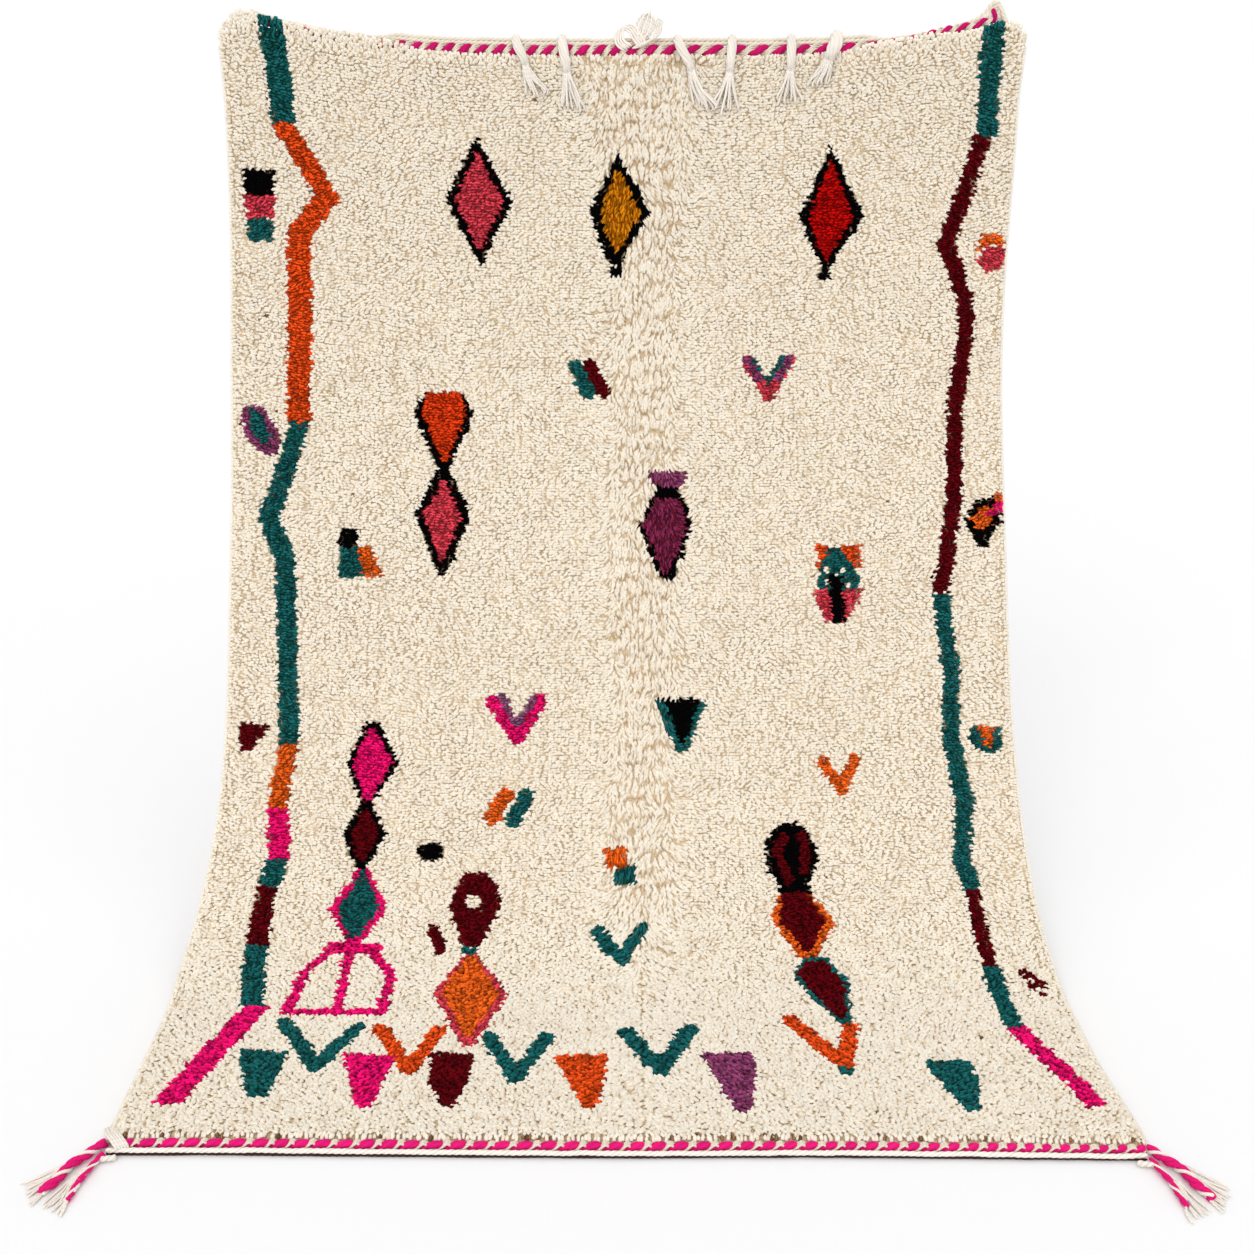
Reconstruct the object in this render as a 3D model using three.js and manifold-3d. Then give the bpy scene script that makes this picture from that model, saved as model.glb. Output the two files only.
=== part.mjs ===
// A hand-knotted wool rug with a long pile, twined and corded at both ends, with tassels at its head and
// corners. It hangs from its head edge, falls away forwards and lies with its foot on the floor.
// Millimetres, +Z up. The pile faces -Y where the rug hangs and +Z where it lies.
// The origin is on the floor, under the middle of the whole rug.

import * as THREE from "three";
import { mergeVertices } from "three/addons/utils/BufferGeometryUtils.js";
import Module from "manifold-3d";

const wasm = await Module();
wasm.setup();

// The field.
const GROUND_WIDTH = 1476; // of the woven ground, without the pile that stands out at its sides
const PILE_HEIGHT = 24; // from the underside of the ground to the crown of the pile
const PILE_LUMP = 4; // most that the crown rises or falls from that height
const HEAD_SAG = 60; // of the head edge between the two corners that it is held by
// Power of the head edge's curve on each side: the flatter its middle, the steeper its end.
const SAG_FLATNESS = { left: 3.7, right: 5 };
const CORNER_AT = 690; // from the middle of the head edge out to where its corners start to round off
const CORNER_DROP = 34; // of the head edge from there to its ends
const FOOT_SKEW = 3; // of the foot edge at each end, the right-hand end being the longer
const RIM_WALL = 17; // height of the woven edge and the pile's roots, under the locks at the rim
const RIM_LOCK_HEIGHT = 20.5; // height of the tips of the locks at the rim
const LOCK_REACH = { head: 2, side: 10, foot: 12 }; // of those locks past the ground's edge
const LOCK_VALLEY = 1; // reach of the rim between two locks
const CROWN_INSET = 5; // of the pile's crown from the ground's edge
const CROWN_DROP = 2.5; // of the pile's crown at its edge

// How the rug falls, stretch by stretch from its head. Each stretch bends evenly from the slope of the one
// before it to its own, in degrees below level.
const HEAD_FALL = 90;
const DRAPE = [
  { length: 315, fall: 85 },
  { length: 300, fall: 74 },
  { length: 300, fall: 68 },
  { length: 300, fall: 64 },
  { length: 200, fall: 53 },
  { length: 200, fall: 34 },
  { length: 200, fall: 15 },
  { length: 150, fall: 0 },
  { length: 310, fall: 0 },
];

// How far each side of the rug wanders outwards from its width, by the distance along the rug.
const EDGE_WANDER = [
  { along: 0, left: 2, right: 10 },
  { along: 150, left: -2, right: 2 },
  { along: 650, left: 8, right: -9 },
  { along: 1000, left: 6, right: -4 },
  { along: 1450, left: 2, right: -2 },
  { along: 1800, left: 6, right: -3 },
  { along: 2050, left: -5, right: -3 },
  { along: 2275, left: -10, right: 9 },
];

// Soft creases from folding, as lines on the rug: a ridge where the rise is positive, a trough where it is
// negative.
const CREASES = [
  { name: "fold", fromAcross: 37, fromAlong: 90, toAcross: 37, toAlong: 1800, rise: 7, reach: 40 },
  { name: "slant", fromAcross: 56, fromAlong: 1396, toAcross: 305, toAlong: 1617, rise: -5, reach: 35 },
  { name: "right", fromAcross: 392, fromAlong: 445, toAcross: 650, toAlong: 445, rise: 4, reach: 38 },
  { name: "upper", fromAcross: -420, fromAlong: 262, toAcross: 250, toAlong: 250, rise: 3, reach: 36 },
];
const RELIEF_FADE = { from: 1740, to: 1930 }; // along the rug, where the creases die out towards the floor

// The field's mesh, both even because its underside has cells of twice the size.
const COLUMNS = 34;
const ROWS = 50;

// The ends: a twined cord next to the pile, then a plain cord.
// A twined cord has an oval section with two half widths, which makes a full turn in the length given.
const TWINING = { long: 8, short: 5, turn: 37 };
const HEAD_HALF_SPAN = 690; // of the end cords, from the middle of the rug
const FOOT_HALF_SPAN = 735;
// Where the head twining sticks up past its right-hand end, from the last place on its edge.
const HEAD_TWINING_END = [
  { out: 8, along: -20, height: 12 },
  { out: 11, along: -36, height: 13 },
];
const END_CORD_RADIUS = 4.8;
const END_CORD_SIDES = 6;
const CLEAR = 0.8; // between neighbouring pieces
const CORD_TUCK = 1.4; // by which a cord is tucked in under its twining's widest places

// The tassels at the head: each row's bundle of warp ends leaves the cord at a place across the rug and hangs
// to a length, leaning sideways by the lean.
const HANGING_TASSELS = [
  { name: "head_tassel_1", across: -193, length: 98, lean: 37 },
  { name: "head_tassel_2", across: -108, length: 130, lean: 18 },
  { name: "head_tassel_4", across: 104, length: 111, lean: 55 },
  { name: "head_tassel_5", across: 204, length: 124, lean: -7 },
  { name: "head_tassel_6", across: 312, length: 102, lean: 0 },
  { name: "head_tassel_7", across: 395, length: 83, lean: -30 },
];
// Their wrapped necks turn over the cord, and `lean` is the share of the tassel's lean.
const HANGING_NECK = [
  { lean: 0, along: -31.4, height: 4 },
  { lean: 0, along: -30.4, height: 15 },
  { lean: 0.06, along: -24, height: 27 },
  { lean: 0.18, along: -8, height: 34 },
  { lean: 0.35, along: 10, height: 36.5 },
  { lean: 0.5, along: 30, height: 36.5 },
];
// The tassel near the middle stands up and curls to one side.
const STANDING_TASSEL = { name: "head_tassel_3", across: 40, rise: 80, lean: 14 };
const STANDING_NECK = [
  { across: 0, along: -30.2, height: 5 },
  { across: -9, along: -39, height: 6 },
  { across: -22, along: -48, height: 7 },
  { across: -27, along: -58, height: 8 },
  { across: -18, along: -66, height: 8 },
];
// A neck and a strand have a radius at the root and narrow to a share of it at the tip. A strand has three
// sides, and its base lies below its middle by a share of its radius.
const NECK = { radius: 6.2, tip: 0.85, sides: 6, steps: 8 };
const STRAND = { radius: 1.9, tip: 0.6, base: 0.8, steps: 3 };
// The strands of a head tassel start close together, a little inside the neck, and part towards their tips.
const HEAD_FAN = { strands: 7, rootSpread: 3.4, inside: 8, tipSpread: 17, shortest: 0.84 };
const CORNER_SHORTEST = 0.86; // share of a corner tassel's length that its shortest strand has

// The cords at each foot corner, from the corner of the ground: outwards, forwards and up from the floor. The
// tips of their strands fan out between two places.
const CORNER_CORDS = [
  {
    name: "outer",
    route: [
      { out: 3.2, forward: 9, up: 7.5 },
      { out: 11, forward: 20, up: 7.5 },
      { out: 24, forward: 40, up: 7 },
      { out: 40, forward: 64, up: 6.6 },
    ],
    fan: { fromOut: 60, fromForward: 134, toOut: 96, toForward: 92, strands: 12 },
  },
  {
    name: "inner",
    route: [
      { out: 0, forward: 26.4, up: 7 },
      { out: 3, forward: 46, up: 6.8 },
      { out: 8, forward: 68, up: 6.6 },
      { out: 11, forward: 90, up: 6.6 },
    ],
    fan: { fromOut: 8, fromForward: 152, toOut: 40, toForward: 140, strands: 9 },
  },
];
const CORNER_CORD = { long: 6.5, short: 4.4, turn: 30 };

const WOOL_CREAM = new THREE.MeshStandardMaterial({ color: 0xe8dfcb, roughness: 0.95, metalness: 0 });
const YARN_PINK = new THREE.MeshStandardMaterial({ color: 0xd9127a, roughness: 0.85, metalness: 0 });
const COTTON_CREAM = new THREE.MeshStandardMaterial({ color: 0xf1ece4, roughness: 0.9, metalness: 0 });

const HALF_GROUND = GROUND_WIDTH / 2;
const LENGTH = DRAPE.reduce((sum, stretch) => sum + stretch.length, 0);
const radians = THREE.MathUtils.degToRad;
const { lerp, smoothstep } = THREE.MathUtils;

// A number from 0 to 1 that looks random and is always the same for the same whole number.
function scatter(index) {
  const wave = Math.sin(index * 127.1 + 311.7) * 43758.5453;
  return wave - Math.floor(wave);
}

// The place and slope that a stretch reaches after a distance: an arc of a circle, or a straight line.
function follow(start, distance) {
  const slope = start.slope + start.bend * distance;
  if (Math.abs(start.bend) < 1e-9) {
    return { y: start.y - Math.cos(slope) * distance, z: start.z - Math.sin(slope) * distance, slope };
  }
  return {
    y: start.y - (Math.sin(slope) - Math.sin(start.slope)) / start.bend,
    z: start.z + (Math.cos(slope) - Math.cos(start.slope)) / start.bend,
    slope,
  };
}

// Each stretch of the fall with its start, and the height of the head above the floor.
const stretches = [];
let end = { y: 0, z: 0, slope: radians(HEAD_FALL) };
let covered = 0;
for (const { length, fall } of DRAPE) {
  const start = { ...end, along: covered, bend: (radians(fall) - end.slope) / length };
  stretches.push(start);
  end = follow(start, length);
  covered += length;
}
const HANG_HEIGHT = -end.z;

// The underside of the ground in the plane of the fall, at a distance along the rug. It runs on past both
// ends.
function drapeAt(along) {
  const start = stretches.findLast((stretch) => stretch.along <= along) ?? stretches[0];
  const { y, z, slope } = follow(start, along - start.along);
  return { y, z: z + HANG_HEIGHT, slope };
}

// How far the rug's sides stand out at a distance along it, smoothly between the rows of the table.
function wanderAt(along) {
  const next = EDGE_WANDER.findIndex((row) => row.along > along);
  if (next <= 0) return next === 0 ? EDGE_WANDER[0] : EDGE_WANDER.at(-1);
  const [a, b] = [EDGE_WANDER[next - 1], EDGE_WANDER[next]];
  const share = smoothstep(along, a.along, b.along);
  return { left: lerp(a.left, b.left, share), right: lerp(a.right, b.right, share) };
}

// Height of the creases over the even fall. A crease is a round ridge about its line that dies out past the
// line's ends.
function reliefAt(across, along) {
  const fade = 1 - smoothstep(along, RELIEF_FADE.from, RELIEF_FADE.to);
  let height = 0;
  for (const crease of CREASES) {
    const run = new THREE.Vector2(crease.toAcross - crease.fromAcross, crease.toAlong - crease.fromAlong);
    const from = new THREE.Vector2(across - crease.fromAcross, along - crease.fromAlong);
    const share = THREE.MathUtils.clamp(from.dot(run) / run.lengthSq(), 0, 1);
    const away = from.addScaledVector(run, -share).length() / crease.reach;
    height += crease.rise * Math.exp(-away * away);
  }
  return height * fade;
}

// A place on the rug in the part's frame: across it from its middle, along it from its head, and above its
// underside.
function place({ across, along, height }) {
  const { y, z, slope } = drapeAt(along);
  const wander = wanderAt(along);
  const stretch = 1 + (across < 0 ? wander.left : wander.right) / HALF_GROUND;
  const lift = height + reliefAt(across, along);
  return new THREE.Vector3(across * stretch, y - lift * Math.sin(slope), z + lift * Math.cos(slope));
}

// Where the ground begins and ends along the rug. The head edge sags between its corners, which are rounded.
function headAlong(across) {
  const out = Math.min(Math.abs(across) / CORNER_AT, 1);
  const power = across < 0 ? SAG_FLATNESS.left : SAG_FLATNESS.right;
  const past = (Math.abs(across) - CORNER_AT) / (HALF_GROUND - CORNER_AT);
  return HEAD_SAG * (1 - out ** power) + CORNER_DROP * Math.max(past, 0) ** 2;
}

function footAlong(across) {
  return LENGTH + (FOOT_SKEW * across) / HALF_GROUND;
}

// A geometry from points and triangles, turned to face outwards.
function geometryOf(points, triangles) {
  const volume = triangles.reduce(
    (sum, [a, b, c]) => sum + points[a].dot(new THREE.Vector3().crossVectors(points[b], points[c])),
    0,
  );
  const facing = volume < 0 ? triangles.map(([a, b, c]) => [a, c, b]) : triangles;
  return new THREE.BufferGeometry().setFromPoints(points).setIndex(facing.flat());
}

// A closed solid through rings of points, with fans for its ends.
function loft(rings) {
  const sides = rings[0].length;
  const points = rings.flat();
  const triangles = [];
  for (let ring = 0; ring + 1 < rings.length; ring += 1) {
    for (let side = 0; side < sides; side += 1) {
      const a = ring * sides + side;
      const b = ring * sides + ((side + 1) % sides);
      triangles.push([a, b, b + sides], [a, b + sides, a + sides]);
    }
  }
  const last = points.length - sides;
  for (let side = 1; side + 1 < sides; side += 1) {
    triangles.push([0, side + 1, side], [last, last + side, last + side + 1]);
  }
  return geometryOf(points, triangles);
}

// Rings of a section carried along a route. The section's points are given at each step as distances to the
// side and up, and up is as near to the facing direction as the route allows.
function ringsAlong(route, steps, facing, sectionAt) {
  const curve = new THREE.CatmullRomCurve3(route);
  return Array.from({ length: steps + 1 }, (_, step) => {
    const centre = curve.getPointAt(step / steps);
    const ahead = curve.getTangentAt(step / steps);
    const side = new THREE.Vector3().crossVectors(ahead, facing).normalize();
    const up = new THREE.Vector3().crossVectors(side, ahead);
    return sectionAt(step).map((p) => centre.clone().addScaledVector(side, p.x).addScaledVector(up, p.y));
  });
}

// Two yarns twined together: an oval section that makes a quarter turn at each step.
function twinedCord(route, facing, { long, short, turn }) {
  const span = new THREE.CatmullRomCurve3(route).getLength();
  const steps = Math.round((4 * span) / turn);
  const sectionAt = (step) => {
    const wide = step % 2 ? new THREE.Vector2(short, long) : new THREE.Vector2(long, short);
    return [
      new THREE.Vector2(wide.x, 0),
      new THREE.Vector2(0, wide.y),
      new THREE.Vector2(-wide.x, 0),
      new THREE.Vector2(0, -wide.y),
    ];
  };
  return loft(ringsAlong(route, steps, facing, sectionAt));
}

// One geometry that joins several which overlap.
function joined(geometries) {
  const solids = geometries.map((geometry) => {
    const merged = mergeVertices(geometry, 1e-3);
    const vertProperties = merged.getAttribute("position").array;
    const triVerts = new Uint32Array(merged.index.array);
    return new wasm.Manifold(new wasm.Mesh({ numProp: 3, vertProperties, triVerts }));
  });
  const mesh = solids.reduce((whole, solid) => whole.add(solid)).getMesh();
  return new THREE.BufferGeometry()
    .setAttribute("position", new THREE.BufferAttribute(mesh.vertProperties, 3))
    .setIndex(new THREE.BufferAttribute(mesh.triVerts, 1));
}

// The place of a point on the rim's line, counted in cells from the head's left corner, clockwise as the pile
// is seen, with the direction that leads off the rug there and how far the locks reach.
function rimAt(position) {
  const { head, side, foot } = LOCK_REACH;
  if (position < COLUMNS) return { column: position, row: 0, out: [0, -1], reach: head };
  if (position < COLUMNS + ROWS) {
    return { column: COLUMNS, row: position - COLUMNS, out: [1, 0], reach: side };
  }
  if (position < 2 * COLUMNS + ROWS) {
    return { column: 2 * COLUMNS + ROWS - position, row: ROWS, out: [0, 1], reach: foot };
  }
  return { column: 0, row: 2 * (COLUMNS + ROWS) - position, out: [-1, 0], reach: side };
}

// A place on the rug by cells across and along, moved in from the edge by an inset.
function gridPlace(column, row, height, inset = 0) {
  const across = (HALF_GROUND - inset) * ((2 * column) / COLUMNS - 1);
  const along = lerp(headAlong(across) + inset, footAlong(across) - inset, row / ROWS);
  return place({ across, along, height });
}

// The rug's field: a flat underside, a lumpy crown, and a rim of a straight wall below a row of locks.
function fieldGeometry() {
  const points = [];
  const triangles = [];
  const add = (point) => points.push(point) - 1;
  const onRim = (column, row) => column === 0 || row === 0 || column === COLUMNS || row === ROWS;
  const crown = new Map();
  const underside = new Map();
  const key = (column, row) => column * (ROWS + 1) + row;

  for (let column = 0; column <= COLUMNS; column += 1) {
    for (let row = 0; row <= ROWS; row += 1) {
      const lump = PILE_LUMP * (2 * scatter(key(column, row)) - 1);
      const height = PILE_HEIGHT + (onRim(column, row) ? lump / 2 - CROWN_DROP : lump);
      crown.set(key(column, row), add(gridPlace(column, row, height, CROWN_INSET)));
      if (column % 2 === 0 && row % 2 === 0) {
        underside.set(key(column, row), add(gridPlace(column, row, 0)));
      }
    }
  }
  const cover = (grid, cell, flip) => {
    for (let column = 0; column < COLUMNS; column += cell) {
      for (let row = 0; row < ROWS; row += cell) {
        const a = grid.get(key(column, row));
        const b = grid.get(key(column, row + cell));
        const c = grid.get(key(column + cell, row + cell));
        const d = grid.get(key(column + cell, row));
        triangles.push(...(flip ? [[a, c, b], [a, d, c]] : [[a, b, c], [a, c, d]]));
      }
    }
  };
  cover(crown, 1, false);
  cover(underside, 2, true);

  const around = 2 * (COLUMNS + ROWS);
  const ringOf = (count, pointOf) => Array.from({ length: count }, (_, k) => pointOf((k * around) / count));
  const gridRing = (grid, count) => ringOf(count, (position) => {
    const { column, row } = rimAt(position);
    return grid.get(key(column, row));
  });
  const wall = ringOf(around, (position) => {
    const { column, row } = rimAt(position);
    return add(gridPlace(column, row, RIM_WALL));
  });
  const locks = ringOf(2 * around, (position) => {
    const { column, row, out, reach } = rimAt(position);
    const isTip = !Number.isInteger(position);
    const stand = isTip ? reach * lerp(0.75, 1.25, scatter(position * 2)) : LOCK_VALLEY;
    const across = HALF_GROUND * ((2 * column) / COLUMNS - 1);
    const along = lerp(headAlong(across), footAlong(across), row / ROWS);
    const tip = { across: across + out[0] * stand, along: along + out[1] * stand };
    return add(place({ ...tip, height: RIM_LOCK_HEIGHT }));
  });
  const at = (ring, k) => ring[k % ring.length];
  const stitchUp = (coarse, fine) => coarse.forEach((_, k) => {
    const middle = at(fine, 2 * k + 1);
    triangles.push(
      [at(coarse, k), at(fine, 2 * k), middle],
      [at(coarse, k), middle, at(coarse, k + 1)],
      [at(coarse, k + 1), middle, at(fine, 2 * k + 2)],
    );
  });
  const stitchDown = (fine, coarse) => coarse.forEach((_, k) => {
    const middle = at(fine, 2 * k + 1);
    triangles.push(
      [at(fine, 2 * k), at(coarse, k), middle],
      [middle, at(coarse, k), at(coarse, k + 1)],
      [middle, at(coarse, k + 1), at(fine, 2 * k + 2)],
    );
  });
  stitchUp(gridRing(underside, around / 2), wall);
  stitchUp(wall, locks);
  stitchDown(locks, gridRing(crown, around));
  return geometryOf(points, triangles);
}

// A route along the head or the foot, set off squarely from the ground's edge.
function edgeRoute(edgeAlong, off, height, halfSpan, count = 40) {
  return Array.from({ length: count + 1 }, (_, k) => {
    const across = lerp(-halfSpan, halfSpan, k / count);
    const step = across > 0 ? -1 : 1;
    const slope = (edgeAlong(across + step) - edgeAlong(across)) / step;
    const square = off / Math.hypot(slope, 1);
    return place({ across: across - slope * square, along: edgeAlong(across) + square, height });
  });
}

// A plain cord along a route, with a flat side to the floor.
function endCord(route, steps) {
  const corner = (_, k) => {
    const turn = (2 * Math.PI * (k + 0.5)) / END_CORD_SIDES;
    return new THREE.Vector2(END_CORD_RADIUS * Math.cos(turn), END_CORD_RADIUS * Math.sin(turn));
  };
  const section = new THREE.Shape(Array.from({ length: END_CORD_SIDES }, corner));
  const geometry = new THREE.ExtrudeGeometry(section, {
    steps,
    bevelEnabled: false,
    extrudePath: new THREE.CatmullRomCurve3(route),
  });
  geometry.deleteAttribute("normal");
  geometry.deleteAttribute("uv");
  return geometry;
}

// A single strand: a thin three-sided spike along a route, with one side to the floor or the pile.
function strand(route, facing) {
  return loft(ringsAlong(route, STRAND.steps, facing, (step) => {
    const size = STRAND.radius * lerp(1, STRAND.tip, step / STRAND.steps);
    const base = -STRAND.base * size;
    return [new THREE.Vector2(-size, base), new THREE.Vector2(size, base), new THREE.Vector2(0, size)];
  }));
}

// A wrapped neck: a round tube that narrows a little to its end.
function neck(route, facing) {
  return loft(ringsAlong(route, NECK.steps, facing, (step) => {
    const size = NECK.radius * lerp(1, NECK.tip, step / NECK.steps);
    return Array.from({ length: NECK.sides }, (_, k) => {
      const turn = (2 * Math.PI * k) / NECK.sides;
      return new THREE.Vector2(size * Math.cos(turn), size * Math.sin(turn));
    });
  }));
}

const PILE_FACING = new THREE.Vector3(0, -1, 0);
const FLOOR_FACING = new THREE.Vector3(0, 0, 1);
const SIDE_FACING = new THREE.Vector3(1, 0, 0);

// Places from -1 to 1, one for each strand of a head tassel.
const headShares = Array.from({ length: HEAD_FAN.strands }, (_, k) => (2 * k) / (HEAD_FAN.strands - 1) - 1);

// A tassel that hangs in front of the pile from a neck turned over the head cord.
function hangingTassel({ across, length, lean }, seed) {
  const edge = headAlong(across);
  const at = (sideways, along, height) => place({ across: across + sideways, along: edge + along, height });
  const root = HANGING_NECK.at(-1);
  const route = HANGING_NECK.map((row) => at(row.lean * lean, row.along, row.height));
  const strands = headShares.map((share, k) => {
    const rootAcross = root.lean * lean + HEAD_FAN.rootSpread * share;
    const tipAcross = lean + HEAD_FAN.tipSpread * share;
    const tipAlong = length * lerp(HEAD_FAN.shortest, 1, scatter(seed + k)) - HEAD_FAN.inside;
    return strand([
      at(rootAcross, root.along - HEAD_FAN.inside, root.height),
      at(lerp(rootAcross, tipAcross, 0.35), lerp(root.along, tipAlong, 0.4), root.height - 1),
      at(tipAcross, tipAlong, root.height - 3),
    ], PILE_FACING);
  });
  return joined([neck(route, SIDE_FACING), ...strands]);
}

// The tassel that stands up from the head cord, curls to one side and fans out above it. Its outer strands
// rise less than its middle one.
function standingTassel({ across, rise, lean }, seed) {
  const edge = headAlong(across);
  const at = (sideways, along, height) => place({ across: across + sideways, along: edge + along, height });
  const root = STANDING_NECK.at(-1);
  const route = STANDING_NECK.map((row) => at(row.across, row.along, row.height));
  const strands = headShares.map((share, k) => {
    const tipAcross = lean + HEAD_FAN.tipSpread * share;
    const tipAlong = -rise * lerp(1, 1.15, scatter(seed + k)) + 10 * share * share;
    return strand([
      at(root.across - 4, root.along + 4, root.height + 1.5 * share),
      at(lerp(root.across, tipAcross, 0.6), root.along - 4 + 3 * share, root.height + 2 * share),
      at(tipAcross, tipAlong, root.height + 3 * share),
    ], PILE_FACING);
  });
  return joined([neck(route, PILE_FACING), ...strands]);
}

// A short plied cord that lies on the floor at a foot corner and ends in a fan of strands, which come down to
// the floor and rest level on it.
function cornerCord({ route, fan }, side, seed) {
  const across = side * HALF_GROUND;
  const corner = place({ across, along: footAlong(across), height: 0 });
  const at = ({ out, forward, up }) => new THREE.Vector3(corner.x + side * out, corner.y - forward, up);
  const between = (a, b, share, up) => at({
    out: lerp(a.out, b.out, share),
    forward: lerp(a.forward, b.forward, share),
    up,
  });
  const root = route.at(-1);
  const lying = STRAND.base * STRAND.radius;
  const strands = Array.from({ length: fan.strands }, (_, k) => {
    const share = k / (fan.strands - 1);
    const fanned = {
      out: lerp(fan.fromOut, fan.toOut, share),
      forward: lerp(fan.fromForward, fan.toForward, share),
    };
    const long = lerp(CORNER_SHORTEST, 1, scatter(seed + k));
    return strand([
      between(route.at(-2), root, 0.8, root.up - 1),
      between(root, fanned, 0.3 * long, lying + 0.8),
      between(root, fanned, 0.6 * long, lying),
      between(root, fanned, long, lying),
    ], FLOOR_FACING);
  });
  return joined([twinedCord(route.map(at), FLOOR_FACING, CORNER_CORD), ...strands]);
}

const twiningOff = TWINING.long + CLEAR;
const cordOff = twiningOff + TWINING.long + END_CORD_RADIUS - CORD_TUCK;
const twiningHeight = TWINING.long;
const cordHeight = END_CORD_RADIUS * Math.cos(Math.PI / END_CORD_SIDES);

// The head twining runs on past its right-hand end and sticks up there.
function headTwiningRoute() {
  const route = edgeRoute(headAlong, -twiningOff, twiningHeight, HEAD_HALF_SPAN);
  const rising = HEAD_TWINING_END.map(({ out, along, height }) => {
    return place({ across: HEAD_HALF_SPAN + out, along: headAlong(HEAD_HALF_SPAN) + along, height });
  });
  return [...route, ...rising];
}

const rug = new THREE.Group();

function addPiece(name, geometry, material) {
  const mesh = new THREE.Mesh(geometry, material);
  mesh.name = name;
  rug.add(mesh);
}

addPiece("rug_field", fieldGeometry(), WOOL_CREAM);
addPiece("head_twining", twinedCord(headTwiningRoute(), PILE_FACING, TWINING), YARN_PINK);
const footTwiningRoute = edgeRoute(footAlong, twiningOff, twiningHeight, FOOT_HALF_SPAN);
addPiece("foot_twining", twinedCord(footTwiningRoute, FLOOR_FACING, TWINING), YARN_PINK);
const headCordRoute = edgeRoute(headAlong, -cordOff, cordHeight, HEAD_HALF_SPAN);
addPiece("head_cord", endCord(headCordRoute, 50), COTTON_CREAM);
const footCordRoute = edgeRoute(footAlong, cordOff, cordHeight, FOOT_HALF_SPAN);
addPiece("foot_cord", endCord(footCordRoute, 50), COTTON_CREAM);
HANGING_TASSELS.forEach((row, k) => addPiece(row.name, hangingTassel(row, 100 * (k + 1)), COTTON_CREAM));
addPiece(STANDING_TASSEL.name, standingTassel(STANDING_TASSEL, 900), COTTON_CREAM);
for (const [side, sideName] of [[-1, "left"], [1, "right"]]) {
  CORNER_CORDS.forEach((row, k) => {
    const seed = 1000 + 50 * k + 10 * side;
    addPiece(`corner_tassel_${sideName}_${row.name}`, cornerCord(row, side, seed), COTTON_CREAM);
  });
}

// The rug stands over the origin by the middle of its box.
const box = new THREE.Box3().setFromObject(rug);
rug.position.set(-(box.min.x + box.max.x) / 2, -(box.min.y + box.max.y) / 2, -box.min.z);

export default rug;
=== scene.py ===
"""A hand-knotted wool rug that hangs by its head edge and sweeps forward onto the floor.

Lengths in the tables are millimetres. Across is measured from the rug's middle line, positive to the right
as the pile is seen, along from its head, and height from the underside of its woven ground. Every piece is
made in these three, and place() carries it onto the rug's fall, in metres in the frame of the model.
"""

import bpy
import numpy as np
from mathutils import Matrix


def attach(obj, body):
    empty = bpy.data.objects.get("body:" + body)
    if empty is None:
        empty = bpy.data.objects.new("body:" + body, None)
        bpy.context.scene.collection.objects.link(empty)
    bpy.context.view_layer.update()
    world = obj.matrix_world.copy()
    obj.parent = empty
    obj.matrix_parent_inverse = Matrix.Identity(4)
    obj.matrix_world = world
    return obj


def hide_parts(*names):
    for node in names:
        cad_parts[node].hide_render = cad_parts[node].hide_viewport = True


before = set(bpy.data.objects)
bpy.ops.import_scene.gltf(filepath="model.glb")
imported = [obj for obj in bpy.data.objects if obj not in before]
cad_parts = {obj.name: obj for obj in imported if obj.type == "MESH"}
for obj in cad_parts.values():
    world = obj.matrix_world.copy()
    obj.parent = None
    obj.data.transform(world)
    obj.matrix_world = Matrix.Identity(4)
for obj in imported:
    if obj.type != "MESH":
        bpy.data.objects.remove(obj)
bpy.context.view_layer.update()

MM = 0.001
RANDOM = np.random.default_rng(20)

# The camera, fitted to the photograph's perspective.
CAMERA_PLACE = (4.4, -2294.4, 1359.0)
CAMERA_TILT = 72.0  # from straight down, in degrees
CAMERA_LENS = 42.57
CAMERA_SENSOR = 36.0
CAMERA_REACH = 200.0  # metres

# The studio: one broad soft sun, even light from all round and seamless paper.
SUN_STRENGTH = 1.09
SUN_BREADTH = 50.0  # in degrees
SUN_TURN = (52.0, 0.0, -10.0)
PAPER = "#ebebec"
PAPER_HALF = 60.0  # metres

# The field, as its solid has it.
ORIGIN_SHIFT = (-7.57, 663.64)
HALF_GROUND = 738.0
HEAD_SAG = 60.0
SAG_FLATNESS = (3.7, 5.0)  # power of the head edge's curve to the left and to the right
CORNER_AT = 690.0
CORNER_DROP = 34.0  # how far the head edge falls from its corners to the selvedges
# The foot's line: across, then how far it is past the rug's length.
FOOT_LINE = np.array(
    [(-738, -3), (-600, -4), (-250, 1), (32, 4), (270, 2), (520, 6), (690, 9), (738, 9)], float
)
HEAD_FALL = 90.0  # slope at the head, in degrees
# The arcs of the fall, from the head down: the length of each, and the slope at its end.
DRAPE_LENGTHS = np.array([315, 300, 300, 300, 200, 200, 200, 150, 310], float)
DRAPE_FALLS = np.radians([85, 74, 68, 64, 53, 34, 15, 0, 0])
# How far the two sides stand out from the even width, by places along them.
WANDER_ALONG = np.array([0, 150, 650, 1000, 1450, 1800, 2050, 2275], float)
WANDER_LEFT = np.array([2, -2, 8, 6, 2, 6, -5, -10], float)
WANDER_RIGHT = np.array([10, 2, -9, -4, -2, -3, -3, 9], float)
# Soft creases: from across, from along, to across, to along, rise and reach.
CREASES = [
    (37, 90, 37, 1800, 7, 40),
    (56, 1396, 305, 1617, -5, 35),
    (392, 445, 650, 445, 4, 38),
    (-420, 262, 250, 250, 3, 36),
]
RELIEF_FADE = (1740.0, 1930.0)  # where they fade out towards the floor


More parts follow.
